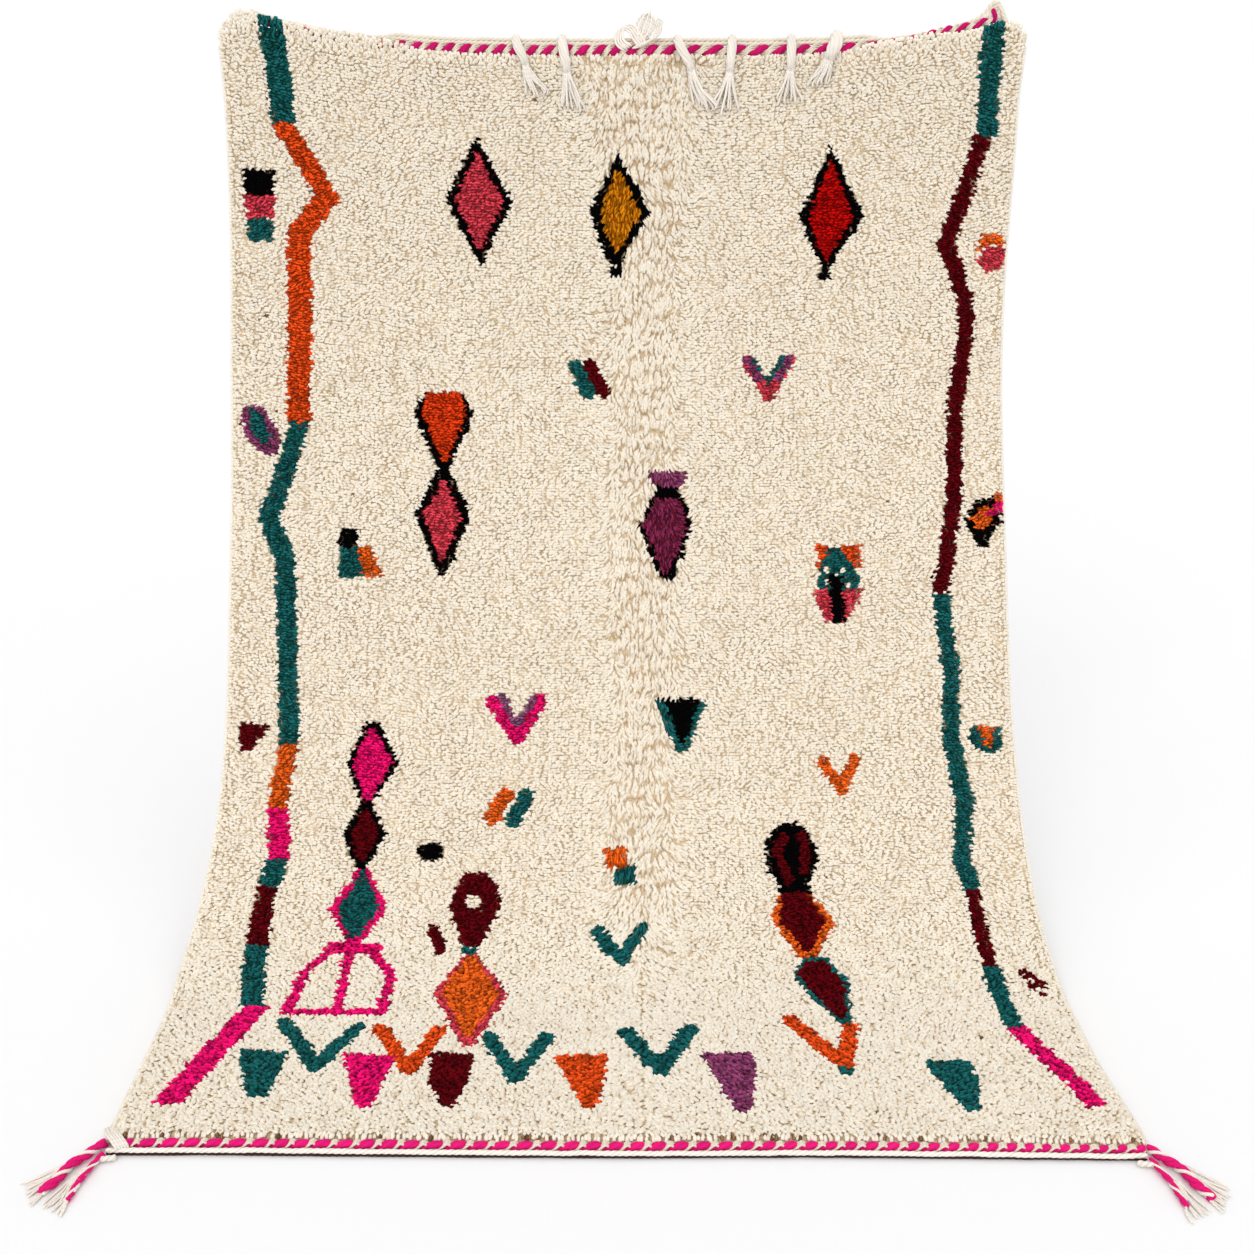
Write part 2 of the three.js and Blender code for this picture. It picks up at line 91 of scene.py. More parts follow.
def smoothstep(value, low, high):
    """0 up to low, 1 from high, and 3 s^2 - 2 s^3 between, where s is the share of the way."""
    share = np.clip((value - low) / (high - low), 0, 1)
    return share * share * (3 - 2 * share)


def stretches():
    """Where each arc of the fall starts: along, y, z, slope and bend. Also its length and its height."""
    y, z, slope, along = 0.0, 0.0, np.radians(HEAD_FALL), 0.0
    rows = []
    for length, fall in zip(DRAPE_LENGTHS, DRAPE_FALLS):
        bend = (fall - slope) / length
        rows.append((along, y, z, slope, bend))
        if abs(bend) < 1e-9:
            y -= np.cos(slope) * length
            z -= np.sin(slope) * length
        else:
            y -= (np.sin(fall) - np.sin(slope)) / bend
            z += (np.cos(fall) - np.cos(slope)) / bend
        slope = fall
        along += length
    return np.array(rows), along, -z


STRETCHES, LENGTH, HANG_HEIGHT = stretches()


def drape_at(along):
    """y, z and slope of the underside of the ground at distances along the rug."""
    along = np.asarray(along, float)
    row = np.clip(np.searchsorted(STRETCHES[:, 0], along, side="right") - 1, 0, len(STRETCHES) - 1)
    start, y, z, slope, bend = np.moveaxis(STRETCHES[row], -1, 0)
    run = along - start
    straight = np.abs(bend) < 1e-9
    safe = np.where(straight, 1, bend)
    turned = slope + bend * run
    y = y - np.where(straight, np.cos(slope) * run, (np.sin(turned) - np.sin(slope)) / safe)
    z = z + np.where(straight, -np.sin(slope) * run, (np.cos(turned) - np.cos(slope)) / safe)
    return y, z + HANG_HEIGHT, turned


def wander_at(along, side):
    """How far a side stands out from the even width, smoothly between the rows of the table."""
    row = np.clip(np.searchsorted(WANDER_ALONG, along, side="right") - 1, 0, len(WANDER_ALONG) - 2)
    share = smoothstep(along, WANDER_ALONG[row], WANDER_ALONG[row + 1])
    return side[row] + (side[row + 1] - side[row]) * share


def relief_at(across, along):
    """Height of the creases: a bell curve of the distance from each one's line."""
    height = np.zeros(np.broadcast(across, along).shape)
    for from_across, from_along, to_across, to_along, rise, reach in CREASES:
        run = np.array([to_across - from_across, to_along - from_along], float)
        share = ((across - from_across) * run[0] + (along - from_along) * run[1]) / (run @ run)
        share = np.clip(share, 0, 1)
        away = np.hypot(across - from_across - run[0] * share, along - from_along - run[1] * share)
        height = height + rise * np.exp(-((away / reach) ** 2))
    return height * (1 - smoothstep(along, *RELIEF_FADE))


def place(across, along, height):
    """Points in the model's frame, in metres, from places on the rug."""
    across, along, height = np.broadcast_arrays(*(np.asarray(v, float) for v in (across, along, height)))
    y, z, slope = drape_at(along)
    wander = np.where(across < 0, wander_at(along, WANDER_LEFT), wander_at(along, WANDER_RIGHT))
    lift = height + relief_at(across, along)
    x = across * (1 + wander / HALF_GROUND)
    points = np.stack([x, y - lift * np.sin(slope), z + lift * np.cos(slope)], axis=-1)
    return (points + np.array([*ORIGIN_SHIFT, 0])) * MM


def facing_at(along):
    """The direction that the pile faces, at distances along the rug."""
    slope = drape_at(along)[2]
    return np.stack([np.zeros_like(slope), -np.sin(slope), np.cos(slope)], axis=-1)


def head_along(across):
    """The head edge. It sags by s (1 - u^p), where u is the share of the way to its corner and p its
    flatness, and falls with the square of the way past the corner."""
    across = np.asarray(across, float)
    out = np.minimum(np.abs(across) / CORNER_AT, 1)
    past = (np.abs(across) - CORNER_AT) / (HALF_GROUND - CORNER_AT)
    sag = HEAD_SAG * (1 - out ** np.where(across < 0, *SAG_FLATNESS))
    return sag + CORNER_DROP * np.maximum(past, 0) ** 2


def foot_along(across):
    """The foot edge, with straight stretches between the places of its line."""
    return LENGTH + np.interp(across, *FOOT_LINE.T)


def off_edge(edge, across, off):
    """Places that lie squarely off the head or foot edge of the ground, across and along."""
    step = np.where(across > 0, -1.0, 1.0)
    slope = (edge(across + step) - edge(across)) / step
    square = off / np.hypot(slope, 1)
    return across - slope * square, edge(across) + square


def lattice(i, j, seed):
    """A number from -1 to 1 for each pair of whole numbers."""
    mixed = (i * 73856093) ^ (j * 19349663) ^ (seed * 83492791)
    mixed = ((mixed ^ (mixed >> 13)) * 1274126177) & 0x7FFFFFFF
    mixed = ((mixed ^ (mixed >> 15)) * 668265263) & 0x7FFFFFFF
    return (mixed >> 11 & 0xFFFF) / 32767.5 - 1


def smooth_noise(x, y, cell, seed):
    """Noise from -1 to 1 that changes over about one cell."""
    i, j = np.floor(x / cell).astype(np.int64), np.floor(y / cell).astype(np.int64)
    u, v = smoothstep(x / cell - i, 0, 1), smoothstep(y / cell - j, 0, 1)
    near = lattice(i, j, seed) * (1 - u) + lattice(i + 1, j, seed) * u
    far = lattice(i, j + 1, seed) * (1 - u) + lattice(i + 1, j + 1, seed) * u
    return near * (1 - v) + far * v


def noise_along(run, cell, seed, row=0.0):
    """Smooth noise along a line."""
    return smooth_noise(run, run * 0 + row, cell, seed)


# The yarns' colours.
YARNS = {
    "cream": "#eee7da",
    "black": "#020203",
    "teal": "#185d5d",
    "burnt_orange": "#e24e18",
    "flame": "#d83c10",
    "orange": "#e4611b",
    "rose": "#d23f4f",
    "hot_pink": "#ee1270",
    "twined_pink": "#d81c70",
    "maroon": "#5b030c",
    "red": "#b40806",
    "ochre": "#c87a0c",
    "plum": "#7a2648",
    "purple": "#8a3f69",
    "mauve": "#8a567a",
    "cotton": "#e8e0d6",
    "warp": "#dbd1bf",
    "brown": "#8a6a4c",
    # A dark yarn that stands in for the shadow under the foot cord: painted shadow.
    "umber_painted_shadow": "#3a2622",
}
YARN_NAMES = list(YARNS)


def linear(code):
    """Linear red, green and blue from an sRGB hex colour."""
    parts = np.array([int(code[k : k + 2], 16) for k in (1, 3, 5)]) / 255
    return np.where(parts <= 0.04045, parts / 12.92, ((parts + 0.055) / 1.055) ** 2.4)


PALETTE = np.array([linear(code) for code in YARNS.values()])


# Shapes of the motifs. Each gives how deep points lie inside it, in millimetres.
def convex(*corners):
    """A shape with straight sides and no hollow."""
    corners = np.array(corners, float)
    ahead = np.roll(corners, -1, axis=0)
    turning = np.sign(np.sum(corners[:, 0] * ahead[:, 1] - ahead[:, 0] * corners[:, 1]))

    def depth(x, y):
        sides = []
        for (ax, ay), (bx, by) in zip(corners, ahead):
            run = np.hypot(bx - ax, by - ay)
            sides.append(turning * ((bx - ax) * (y - ay) - (by - ay) * (x - ax)) / run)
        return np.min(sides, axis=0)

    return depth


def block(left, top, right, bottom):
    return convex((left, top), (right, top), (right, bottom), (left, bottom))


def oval(x0, y0, half_across, half_along, lean=0.0):
    """An ellipse whose long axis leans to the right at its lower end."""
    turn = np.radians(lean)

    def depth(x, y):
        u = (x - x0) * np.cos(turn) - (y - y0) * np.sin(turn)
        v = (x - x0) * np.sin(turn) + (y - y0) * np.cos(turn)
        return (1 - np.hypot(u / half_across, v / half_along)) * min(half_across, half_along)

    return depth


def stroke(width, *corners):
    """A line of some width through corners."""

    def depth(x, y):
        away = []
        for (ax, ay), (bx, by) in zip(corners, corners[1:]):
            share = ((x - ax) * (bx - ax) + (y - ay) * (by - ay)) / ((bx - ax) ** 2 + (by - ay) ** 2)
            share = np.clip(share, 0, 1)
            away.append(np.hypot(x - ax - share * (bx - ax), y - ay - share * (by - ay)))
        return width / 2 - np.min(away, axis=0)

    return depth


# Borders that zigzag down both sides: the yarn and width of each stretch, then its corners.
BORDER_JOIN = 3.0  # how far a stretch goes past its ends
BORDERS = [
    ("teal", 45, (-642, -20), (-635, 177)),
    ("burnt_orange", 37, (-636, 180), (-556, 314)),
    ("burnt_orange", 44, (-556, 314), (-612, 380), (-612, 738)),
    ("teal", 38, (-612, 744), (-643, 855), (-669, 922), (-638, 1008), (-622, 1364)),
    ("orange", 36, (-624, 1368), (-632, 1488)),
    ("hot_pink", 39, (-630, 1494), (-619, 1590)),
    ("teal", 39, (-621, 1596), (-624, 1648)),
    ("maroon", 36, (-628, 1654), (-621, 1782)),
    ("teal", 38, (-620, 1788), (-604, 1938)),
    ("hot_pink", 44, (-596, 1944), (-636, 2070), (-672, 2198)),
    ("teal", 40, (680, -10), (686, 198)),
    ("maroon", 31, (678, 204), (623, 402), (668, 506), (672, 564), (650, 700), (645, 893), (613, 1070)),
    ("teal", 33, (615, 1078), (630, 1241), (622, 1348), (638, 1476), (622, 1598), (630, 1656)),
    ("maroon", 26, (630, 1662), (631, 1832)),
    ("teal", 31, (632, 1838), (635, 1996)),
    ("hot_pink", 33, (637, 2004), (660, 2072), (684, 2150)),
    ("hot_pink", 30, (684, 2150), (695, 2205)),
]

# The motifs, each of a few shapes: yarn and shape, later rows over earlier ones.
MOTIFS = [
    # Three lozenges with dark outlines.
    ("black", convex((-270, 203), (-204, 320), (-265, 443), (-332, 315))),
    ("rose", convex((-270, 226), (-222, 320), (-266, 418), (-313, 315))),
    ("black", convex((-5, 233), (56, 340), (-2, 440), (-22, 440), (-58, 340))),
    ("ochre", convex((-5, 258), (38, 340), (-10, 424), (-40, 340))),
    ("black", block(-18, 442, 2, 460)),
    ("black", convex((396, 218), (464, 350), (394, 458), (342, 350))),
    ("red", convex((396, 240), (444, 350), (394, 436), (360, 350))),
    ("black", block(381, 454, 406, 468)),
    # Blocks and small figures outside the borders.
    ("black", block(-713, 262, -658, 309)),
    ("rose", block(-713, 309, -658, 352)),
    ("teal", convex((-713, 340), (-680, 352), (-660, 352), (-660, 395), (-710, 395))),
    ("purple", oval(-685, 755, 30, 54, 28)),
    ("teal", oval(-689, 748, 15, 40, 26)),
    ("maroon", convex((-714, 1323), (-656, 1328), (-690, 1378), (-712, 1378))),
    ("orange", convex((684, 402), (690, 382), (726, 382), (734, 402))),
    ("rose", convex((684, 434), (697, 403), (734, 403), (744, 434), (722, 452), (700, 452))),
    ("orange", block(683, 400, 694, 412)),
    ("black", convex((664, 927), (690, 893), (738, 882), (736, 928), (703, 988), (688, 988))),
    ("orange", convex((676, 930), (706, 902), (728, 905), (716, 930), (702, 950), (690, 950))),
    ("hot_pink", convex((708, 918), (724, 898), (742, 896), (742, 912), (722, 925))),
    ("orange", block(722, 878, 745, 894)),
    ("teal", convex((660, 1332), (712, 1330), (717, 1367), (698, 1386), (680, 1382), (656, 1358))),
    ("orange", convex((670, 1330), (705, 1332), (696, 1372), (690, 1372))),
    ("maroon", stroke(11, (678, 1852), (690, 1846), (704, 1868), (708, 1892))),
    ("maroon", stroke(10, (684, 1862), (692, 1890), (706, 1912))),
    ("maroon", stroke(9, (684, 1886), (712, 1880))),
    # A bell over a lozenge.
    ("black", convex((-374, 682), (-305, 682), (-279, 724), (-332, 842), (-346, 842), (-395, 722))),
    ("flame", convex((-372, 682), (-307, 682), (-294, 726), (-337, 826), (-380, 724))),
    ("black", convex((-350, 835), (-328, 835), (-284, 920), (-332, 1038), (-348, 1038), (-393, 920))),
    ("rose", convex((-339, 850), (-301, 920), (-340, 1018), (-377, 920))),
    # Slanted bars.
    ("teal", stroke(29, (-85, 634), (-62, 683))),
    ("maroon", stroke(25, (-58, 632), (-31, 683))),
    ("orange", stroke(31, (-213, 1466), (-236, 1512))),
    ("teal", stroke(29, (-173, 1466), (-195, 1516))),
    ("maroon", stroke(23, (-325, 1746), (-306, 1794))),
    # A lozenge with a cap.
    ("purple", convex((55, 835), (127, 835), (127, 850), (112, 868), (70, 868), (55, 850))),
    ("black", convex(
        (70, 867), (109, 867), (116, 884), (137, 936), (100, 1047), (76, 1047), (32, 936), (62, 884),
    )),
    ("plum", convex(
        (68, 888), (114, 888), (125, 930), (125, 948), (91, 1034), (82, 1034), (45, 948), (45, 930),
    )),
    # Chevrons.
    ("rose", stroke(25, (247, 624), (286, 688), (325, 622))),
    ("purple", stroke(20, (247, 622), (266, 652))),
    ("purple", stroke(20, (325, 620), (306, 652))),
    ("teal", stroke(9, (257, 620), (286, 664), (313, 620))),
    ("hot_pink", stroke(29, (-238, 1281), (-193, 1350), (-151, 1281))),
    ("mauve", stroke(14, (-221, 1276), (-192, 1328), (-164, 1276))),
    ("orange", stroke(21, (377, 1397), (412, 1456), (439, 1393))),
    ("teal", stroke(24, (-38, 1752), (2, 1822), (36, 1750))),
    ("teal", stroke(26, (-541, 1986), (-467, 2110), (-420, 2000))),
    ("burnt_orange", stroke(26, (-384, 2004), (-322, 2114), (-288, 2008))),
    ("teal", stroke(26, (-206, 2026), (-157, 2138), (-115, 2030))),
    ("teal", stroke(29, (11, 2016), (62, 2116), (112, 2008))),
    ("burnt_orange", stroke(29, (275, 1980), (345, 2102), (371, 2000))),
    ("teal", block(333, 2110, 355, 2130)),
    # Blocks side by side.
    ("black", block(-534, 948, -500, 985)),
    ("teal", block(-534, 985, -488, 1042)),
    ("orange", convex((-503, 983), (-474, 983), (-452, 1042), (-484, 1042))),
    ("orange", convex((-30, 1572), (8, 1570), (16, 1610), (-24, 1616))),
    ("teal", convex((-10, 1618), (14, 1608), (29, 1610), (27, 1652), (-10, 1652))),
    ("black", oval(-342, 1580, 22, 20)),
    ("black", block(-368, 1572, -318, 1583)),
    # A figure with a stem.
    ("burnt_orange", block(378, 980, 404, 1024)),
    ("burnt_orange", block(422, 980, 461, 1024)),
    ("teal", convex((403, 984), (422, 984), (454, 1030), (460, 1067), (380, 1067), (384, 1026))),
    ("cream", oval(399, 1029, 6, 6)),
    ("cream", oval(430, 1029, 6, 6)),
    ("cream", oval(414, 1040, 6, 6)),
    ("cream", oval(398, 1052, 6, 6)),
    ("cream", oval(437, 1053, 6, 6)),
    ("rose", convex((368, 1065), (465, 1065), (434, 1128), (390, 1128))),
    ("black", block(402, 1038, 428, 1130)),
    # A dark triangle with a teal border.
    ("teal", convex((64, 1280), (162, 1280), (126, 1378), (104, 1378))),
    ("black", convex((82, 1277), (148, 1277), (120, 1364), (112, 1364))),
    # Lozenges one under the other, and a skirt.
    ("black", convex((-478, 1323), (-452, 1323), (-412, 1403), (-462, 1488), (-478, 1488), (-512, 1400))),
    ("hot_pink", convex((-474, 1336), (-459, 1336), (-425, 1403), (-464, 1474), (-475, 1474), (-501, 1400))),
    ("black", convex((-480, 1480), (-460, 1480), (-426, 1545), (-460, 1616), (-474, 1616), (-508, 1545))),
    ("maroon", convex((-474, 1493), (-463, 1493), (-441, 1545), (-463, 1602), (-471, 1602), (-494, 1545))),
    ("hot_pink", convex((-470, 1614), (-454, 1614), (-408, 1700), (-446, 1780), (-470, 1780), (-513, 1700))),
    ("teal", convex((-464, 1618), (-458, 1618), (-424, 1700), (-454, 1768), (-468, 1768), (-497, 1700))),
    ("hot_pink", stroke(27, (-490, 1790), (-420, 1794))),
    ("hot_pink", stroke(
        18, (-492, 1794), (-528, 1850), (-542, 1955), (-386, 1957), (-385, 1854), (-426, 1798),
    )),
    ("hot_pink", stroke(18, (-463, 1790), (-459, 1955))),
    # An egg with a light eye, over a lozenge.
    ("maroon", convex((-281, 1622), (-238, 1622), (-210, 1698), (-240, 1788), (-268, 1788), (-299, 1702))),
    ("maroon", oval(-254, 1681, 42, 58)),
    ("cream", oval(-257, 1685, 13, 15)),
    ("rose", convex((-262, 1804), (-242, 1804), (-184, 1905), (-230, 2054), (-248, 2054), (-309, 1904))),
    ("orange", convex((-260, 1810), (-242, 1810), (-199, 1904), (-236, 2030), (-246, 2030), (-295, 1902))),
    ("teal", oval(-254, 1798, 15, 9)),
    # Three figures one under the other.
    ("black", oval(311, 1588, 47, 68)),
    ("black", block(282, 1636, 338, 1667)),
    ("maroon", stroke(18, (296, 1550), (286, 1582), (304, 1640))),
    ("maroon", stroke(18, (330, 1542), (336, 1584), (330, 1622))),
    ("orange", convex((282, 1668), (342, 1668), (378, 1728), (342, 1814), (308, 1814), (266, 1726))),
    ("maroon", convex((290, 1664), (334, 1664), (361, 1728), (330, 1798), (318, 1798), (281, 1727))),
    ("teal", convex((318, 1813), (352, 1813), (388, 1878), (374, 1988), (352, 1988), (292, 1858))),
    ("maroon", convex((319, 1822), (349, 1822), (378, 1878), (369, 1974), (353, 1974), (299, 1856))),
    # A row of triangles that point to the foot.
    ("teal", convex((-598, 2062), (-517, 2068), (-528, 2184), (-556, 2184))),
    ("hot_pink", convex((-431, 2072), (-345, 2080), (-369, 2212), (-389, 2212))),
    ("maroon", convex((-294, 2070), (-224, 2074), (-228, 2140), (-246, 2208), (-264, 2208), (-289, 2140))),
    ("burnt_orange", convex((-101, 2076), (-14, 2076), (-31, 2213), (-52, 2213))),
    ("purple", convex((126, 2071), (204, 2071), (209, 2110), (190, 2218), (168, 2218))),
    ("teal", convex((468, 2092), (542, 2090), (543, 2150), (522, 2218), (502, 2218))),
]


def yarn_at(across, along):
    """The number of the yarn that a knot is tied with."""
    yarn = np.zeros(np.shape(across), int)
    for name, width, *corners in BORDERS:
        inside = stroke(width, *corners)(across, along) > 0
        low, high = corners[0][1] - BORDER_JOIN, corners[-1][1] + BORDER_JOIN
        yarn[inside & (along > low) & (along < high)] = YARN_NAMES.index(name)
    for name, shape in MOTIFS:
        yarn[shape(across, along) > 0] = YARN_NAMES.index(name)
    return yarn


def set_all(layer, key, values, kind=np.float32):
    """Values of a whole layer of a mesh."""
    layer.foreach_set(key, np.asarray(values, kind).ravel())


def new_piece(name, points, faces, material, node, colours, unwrap):
    """A mesh from arrays: points in metres, faces as arrays of three, four or more corners each, a colour for
    each point, and a place on the bake's map for each corner of each face."""
    mesh = bpy.data.meshes.new(name)
    loops = np.concatenate([part.ravel() for part in faces])
    totals = np.concatenate([np.full(len(part), part.shape[1]) for part in faces])
    mesh.vertices.add(len(points))
    set_all(mesh.vertices, "co", points)
    mesh.loops.add(len(loops))
    set_all(mesh.loops, "vertex_index", loops, np.int32)
    mesh.polygons.add(len(totals))
    set_all(mesh.polygons, "loop_start", np.cumsum(totals) - totals, np.int32)
    set_all(mesh.polygons, "loop_total", totals, np.int32)
    mesh.update(calc_edges=True)
    mesh.shade_smooth()
    # Each point's colour, with any painted shade and highlight that its piece gives it.
    dyed = mesh.color_attributes.new("yarn", "FLOAT_COLOR", "POINT")
    set_all(dyed.data, "color", np.concatenate([colours, np.ones((len(points), 1))], axis=1))
    bake = mesh.uv_layers.new(name="OFBake")
    set_all(bake.data, "uv", np.concatenate([part.reshape(-1, 2) for part in unwrap]))
    mesh.materials.append(material)
    piece = bpy.data.objects.new(name, mesh)
    bpy.context.scene.collection.objects.link(piece)
    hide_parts(node)
    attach(piece, "root")
    return piece


# Materials.
def add_node(tree, kind, inputs=None, **settings):
    """A shader node with its settings, and its sockets given as values or as the output to link."""
    made = tree.nodes.new("ShaderNode" + kind)
    for name, value in settings.items():
        setattr(made, name, value)
    for name, value in (inputs or {}).items():
        if isinstance(value, bpy.types.NodeSocket):
            tree.links.new(value, made.inputs[name])
        else:
            made.inputs[name].default_value = value
    return made


def yarn_material(name, fibre, uneven, bump, sheen=0.0, weave=None):
    """Spun yarn in the colours that its mesh holds. Its tone wanders over patches a few fibres wide, by the
    share uneven, and the fibres raise its surface. Weave adds a relief of its own from the tree."""
    material = bpy.data.materials.new(name)
    material.use_nodes = True
    tree = material.node_tree
    dyed = add_node(tree, "Attribute", attribute_name="yarn").outputs["Color"]
    where = add_node(tree, "TexCoord").outputs["Object"]
    fibres = add_node(
        tree, "TexNoise", {"Vector": where, "Scale": 1 / (fibre * MM), "Detail": 3.0, "Roughness": 0.65}
    ).outputs["Fac"]
    spread = {"From Min": 0.3, "From Max": 0.7, "To Min": 1 - uneven, "To Max": 1 + uneven}
    tone = add_node(tree, "MapRange", {"Value": fibres, **spread}).outputs[0]
    toned = add_node(tree, "VectorMath", {0: dyed, "Scale": tone}, operation="SCALE").outputs[0]
    relief = weave(tree, fibres) if weave else fibres
    raised = add_node(tree, "Bump", {"Height": relief, "Distance": bump * MM, "Strength": 1.0})
    surface = tree.nodes["Principled BSDF"]
    tree.links.new(toned, surface.inputs["Base Color"])
    tree.links.new(raised.outputs["Normal"], surface.inputs["Normal"])
    surface.inputs["Roughness"].default_value = 0.95
    surface.inputs["Sheen Weight"].default_value = sheen
    surface.inputs["Sheen Roughness"].default_value = 0.6
    surface.inputs["Specular IOR Level"].default_value = 0.05
    return material


# The back of the ground: room between its warps, and between its rows of knots.
WARP_PITCH = 4.6
ROW_PITCH = 9.0


def weave_relief(tree, fibres):
    """The fibres plus a sine of the distance across for the warps and one of that along for the rows."""
    cloth = add_node(tree, "Attribute", attribute_name="cloth").outputs["Vector"]
    parts = add_node(tree, "SeparateXYZ", {0: cloth}).outputs
    relief = fibres
    for part, pitch in ((parts["X"], WARP_PITCH), (parts["Y"], ROW_PITCH)):
        turns = add_node(tree, "Math", {0: part, 1: 2 * np.pi / (pitch * MM)}, operation="MULTIPLY")
        wave = add_node(tree, "Math", {0: turns.outputs[0]}, operation="SINE")
        relief = add_node(tree, "Math", {0: relief, 1: wave.outputs[0]}, operation="ADD").outputs[0]
    return relief


# Hand-spun sheep's wool, cut as pile: matt and soft.
PILE_WOOL = yarn_material("knotted_wool_pile", fibre=3.2, uneven=0.07, bump=0.25)
# The same wool as warp and weft, beaten down, seen from behind and in the gaps of the pile.
GROUND_WOOL = yarn_material("woven_wool_ground", fibre=3.0, uneven=0.12, bump=0.6, weave=weave_relief)
# Two-ply wool, spun harder than the pile.
TWINED_WOOL = yarn_material("twined_wool_yarn", fibre=2.0, uneven=0.1, bump=0.3)
# Unbleached cotton, spun as warps and laid as cords: paler, with a faint bloom.
COTTON = yarn_material("cotton_cord", fibre=1.6, uneven=0.06, bump=0.25, sheen=0.02)


# The pile.
BRICK = (6.6, 5.1)  # room that a tuft takes, lengthwise and sideways
LOOSENESS = (0.45, 0.25)  # shares of that room by which a knot is off its row, lengthwise and sideways
TUFT_CROWN = 20.0  # usual height of the line of a lying tuft
TUFT_DROPS = np.array([5.0, 0.0, 1.4])  # how far its root, its belly and its end are below that
TUFT_LENGTH = (8.2, 11.0)
TUFT_RADIUS = (2.6, 3.15)
TUFT_WIDTHS = np.array([0.8, 1.0, 0.8])  # shares of the radius at its root, its belly and its end
# Painted shade and highlight of a tuft: its tone at its root, then at the left edge, the ridge and the right
# edge of its belly and of its end. The root and the edges are darker and warmer as painted shade, and the
# ridge of the end a little lighter as a painted highlight.
TUFT_PAINTED_SHADES = np.array([
    (0.72, 0.61, 0.46),
    (0.88, 0.82, 0.73), (1.02, 1.02, 1.02), (0.88, 0.82, 0.73),
    (0.94, 0.90, 0.85), (1.04, 1.05, 1.06), (0.94, 0.90, 0.85),
])
DYED_SHADE_POWER = 7  # power of that painted shade and highlight in dyed wool, which is all one hue
BAND_AT = 37.0  # the middle band, where the pile is combed down
SIDE_REACH = (1.0, 6.0)  # how far tufts reach past the ground at its sides and at its foot
FOOT_REACH = (1.0, 6.0)
# Shares of undyed knots that are brown: in the field, and in the last few rows at the foot.
STRAY_SHARE = 0.0002
FOOT_STRAY_SHARE = 0.1
FOOT_STRAY_ROWS = 7.0
# The pile's four pieces: name, and how far along each ends.
PILE_PIECES = [("head", 570.0), ("upper", 1140.0), ("lower", 1705.0), ("foot", 9999.0)]
# How far the pile rolls over the head: across, then how far past the edge of the ground.
HEAD_COVER = np.array([
    (-738, 24), (-714, 25), (-690, 26), (-490, 28), (-430, 23), (-375, 12), (-300, 9), (-150, 6),
    (250, 5), (330, 7), (420, 10), (462, 20), (500, 23), (573, 22), (600, 15), (660, 7), (700, 4),
    (710, 12), (725, 17), (738, 19),
], float)
# Clumps of pile: the room that one takes where the pile lies sideways, then in the middle band.
CLUMP_SIZES = np.array([(24.0, 8.5), (11.0, 36.0)])
CLUMP_DRAWS = np.array([0.05, 0.16])  # share of its way to the middle of its clump that a tuft is drawn in
PARTING_DROP = 1.5  # how much lower the pile is in a parting
PARTING_WIDTHS = np.array([0.11, 0.15])  # share of a clump that a parting takes
PARTING_DEPTHS = np.array([0.75, 1.15])
PARTING_OPEN = np.array([-0.4, -0.9])  # noise from which a parting is open
PARTING_PAINTED_SHADE = np.array([0.64, 0.50, 0.34])  # painted shade of wool deep in a parting, against wool in the light


def band_at(across, along):
    """How much the middle band takes part at a place, from 0 to 1: a bell curve of the distance from its
    middle. It is wider towards the head, wanders a little and thins out towards the foot."""
    middle = BAND_AT + 16 * noise_along(along, 260, 52)
    wide = 68 + 90 * np.exp(-along / 180) + 14 * noise_along(along, 150, 53)
    return np.exp(-(((across - middle) / wide) ** 2)) * (1 - 0.65 * smoothstep(along, 1500, 1950))


def combed_down(across, along):
    """Where tufts hang down: in the middle band, whose rim coarse and fine smooth noise break up."""
    ragged = 0.32 * smooth_noise(across, along, 60, 9) + 0.4 * smooth_noise(across, along, 11, 55)
    return band_at(across, along) > 0.6 + ragged


def clumps_at(across, along):
    """The way that a tuft at each place is drawn to the middle of its clump, across and along, and how deep
    in a parting it is. A clump holds the places that are nearest to its middle, and a parting is a bell curve
    of how much nearer that is than the next clump's. Smooth noise closes some of the partings up."""
    kind = combed_down(across, along).astype(int)
    wide, high = np.moveaxis(CLUMP_SIZES[kind], -1, 0)
    x = (across + 5 * smooth_noise(across, along, 20, 14)) / wide
    y = (along + 5 * smooth_noise(across, along, 20, 15)) / high
    i, j = np.floor(x).astype(np.int64), np.floor(y).astype(np.int64)
    nearest, second = np.full(x.shape, 9.0), np.full(x.shape, 9.0)
    to_x, to_y = np.zeros(x.shape), np.zeros(x.shape)
    for di in (-1, 0, 1):
        for dj in (-1, 0, 1):
            u = i + di + 0.5 + 0.4 * lattice(i + di, j + dj, 16) - x
            v = j + dj + 0.5 + 0.4 * lattice(i + di, j + dj, 17) - y
            away = np.hypot(u, v)
            closer = away < nearest
            second = np.where(closer, nearest, np.minimum(second, away))
            nearest = np.where(closer, away, nearest)
            to_x, to_y = np.where(closer, u, to_x), np.where(closer, v, to_y)
    open_from = PARTING_OPEN[kind]
    open_here = smoothstep(smooth_noise(across, along, 13, 18) - open_from, 0, 1)
    deep = PARTING_DEPTHS[kind] * open_here * np.exp(-(((second - nearest) / PARTING_WIDTHS[kind]) ** 2))
    return CLUMP_DRAWS[kind] * to_x * wide, CLUMP_DRAWS[kind] * to_y * high, deep


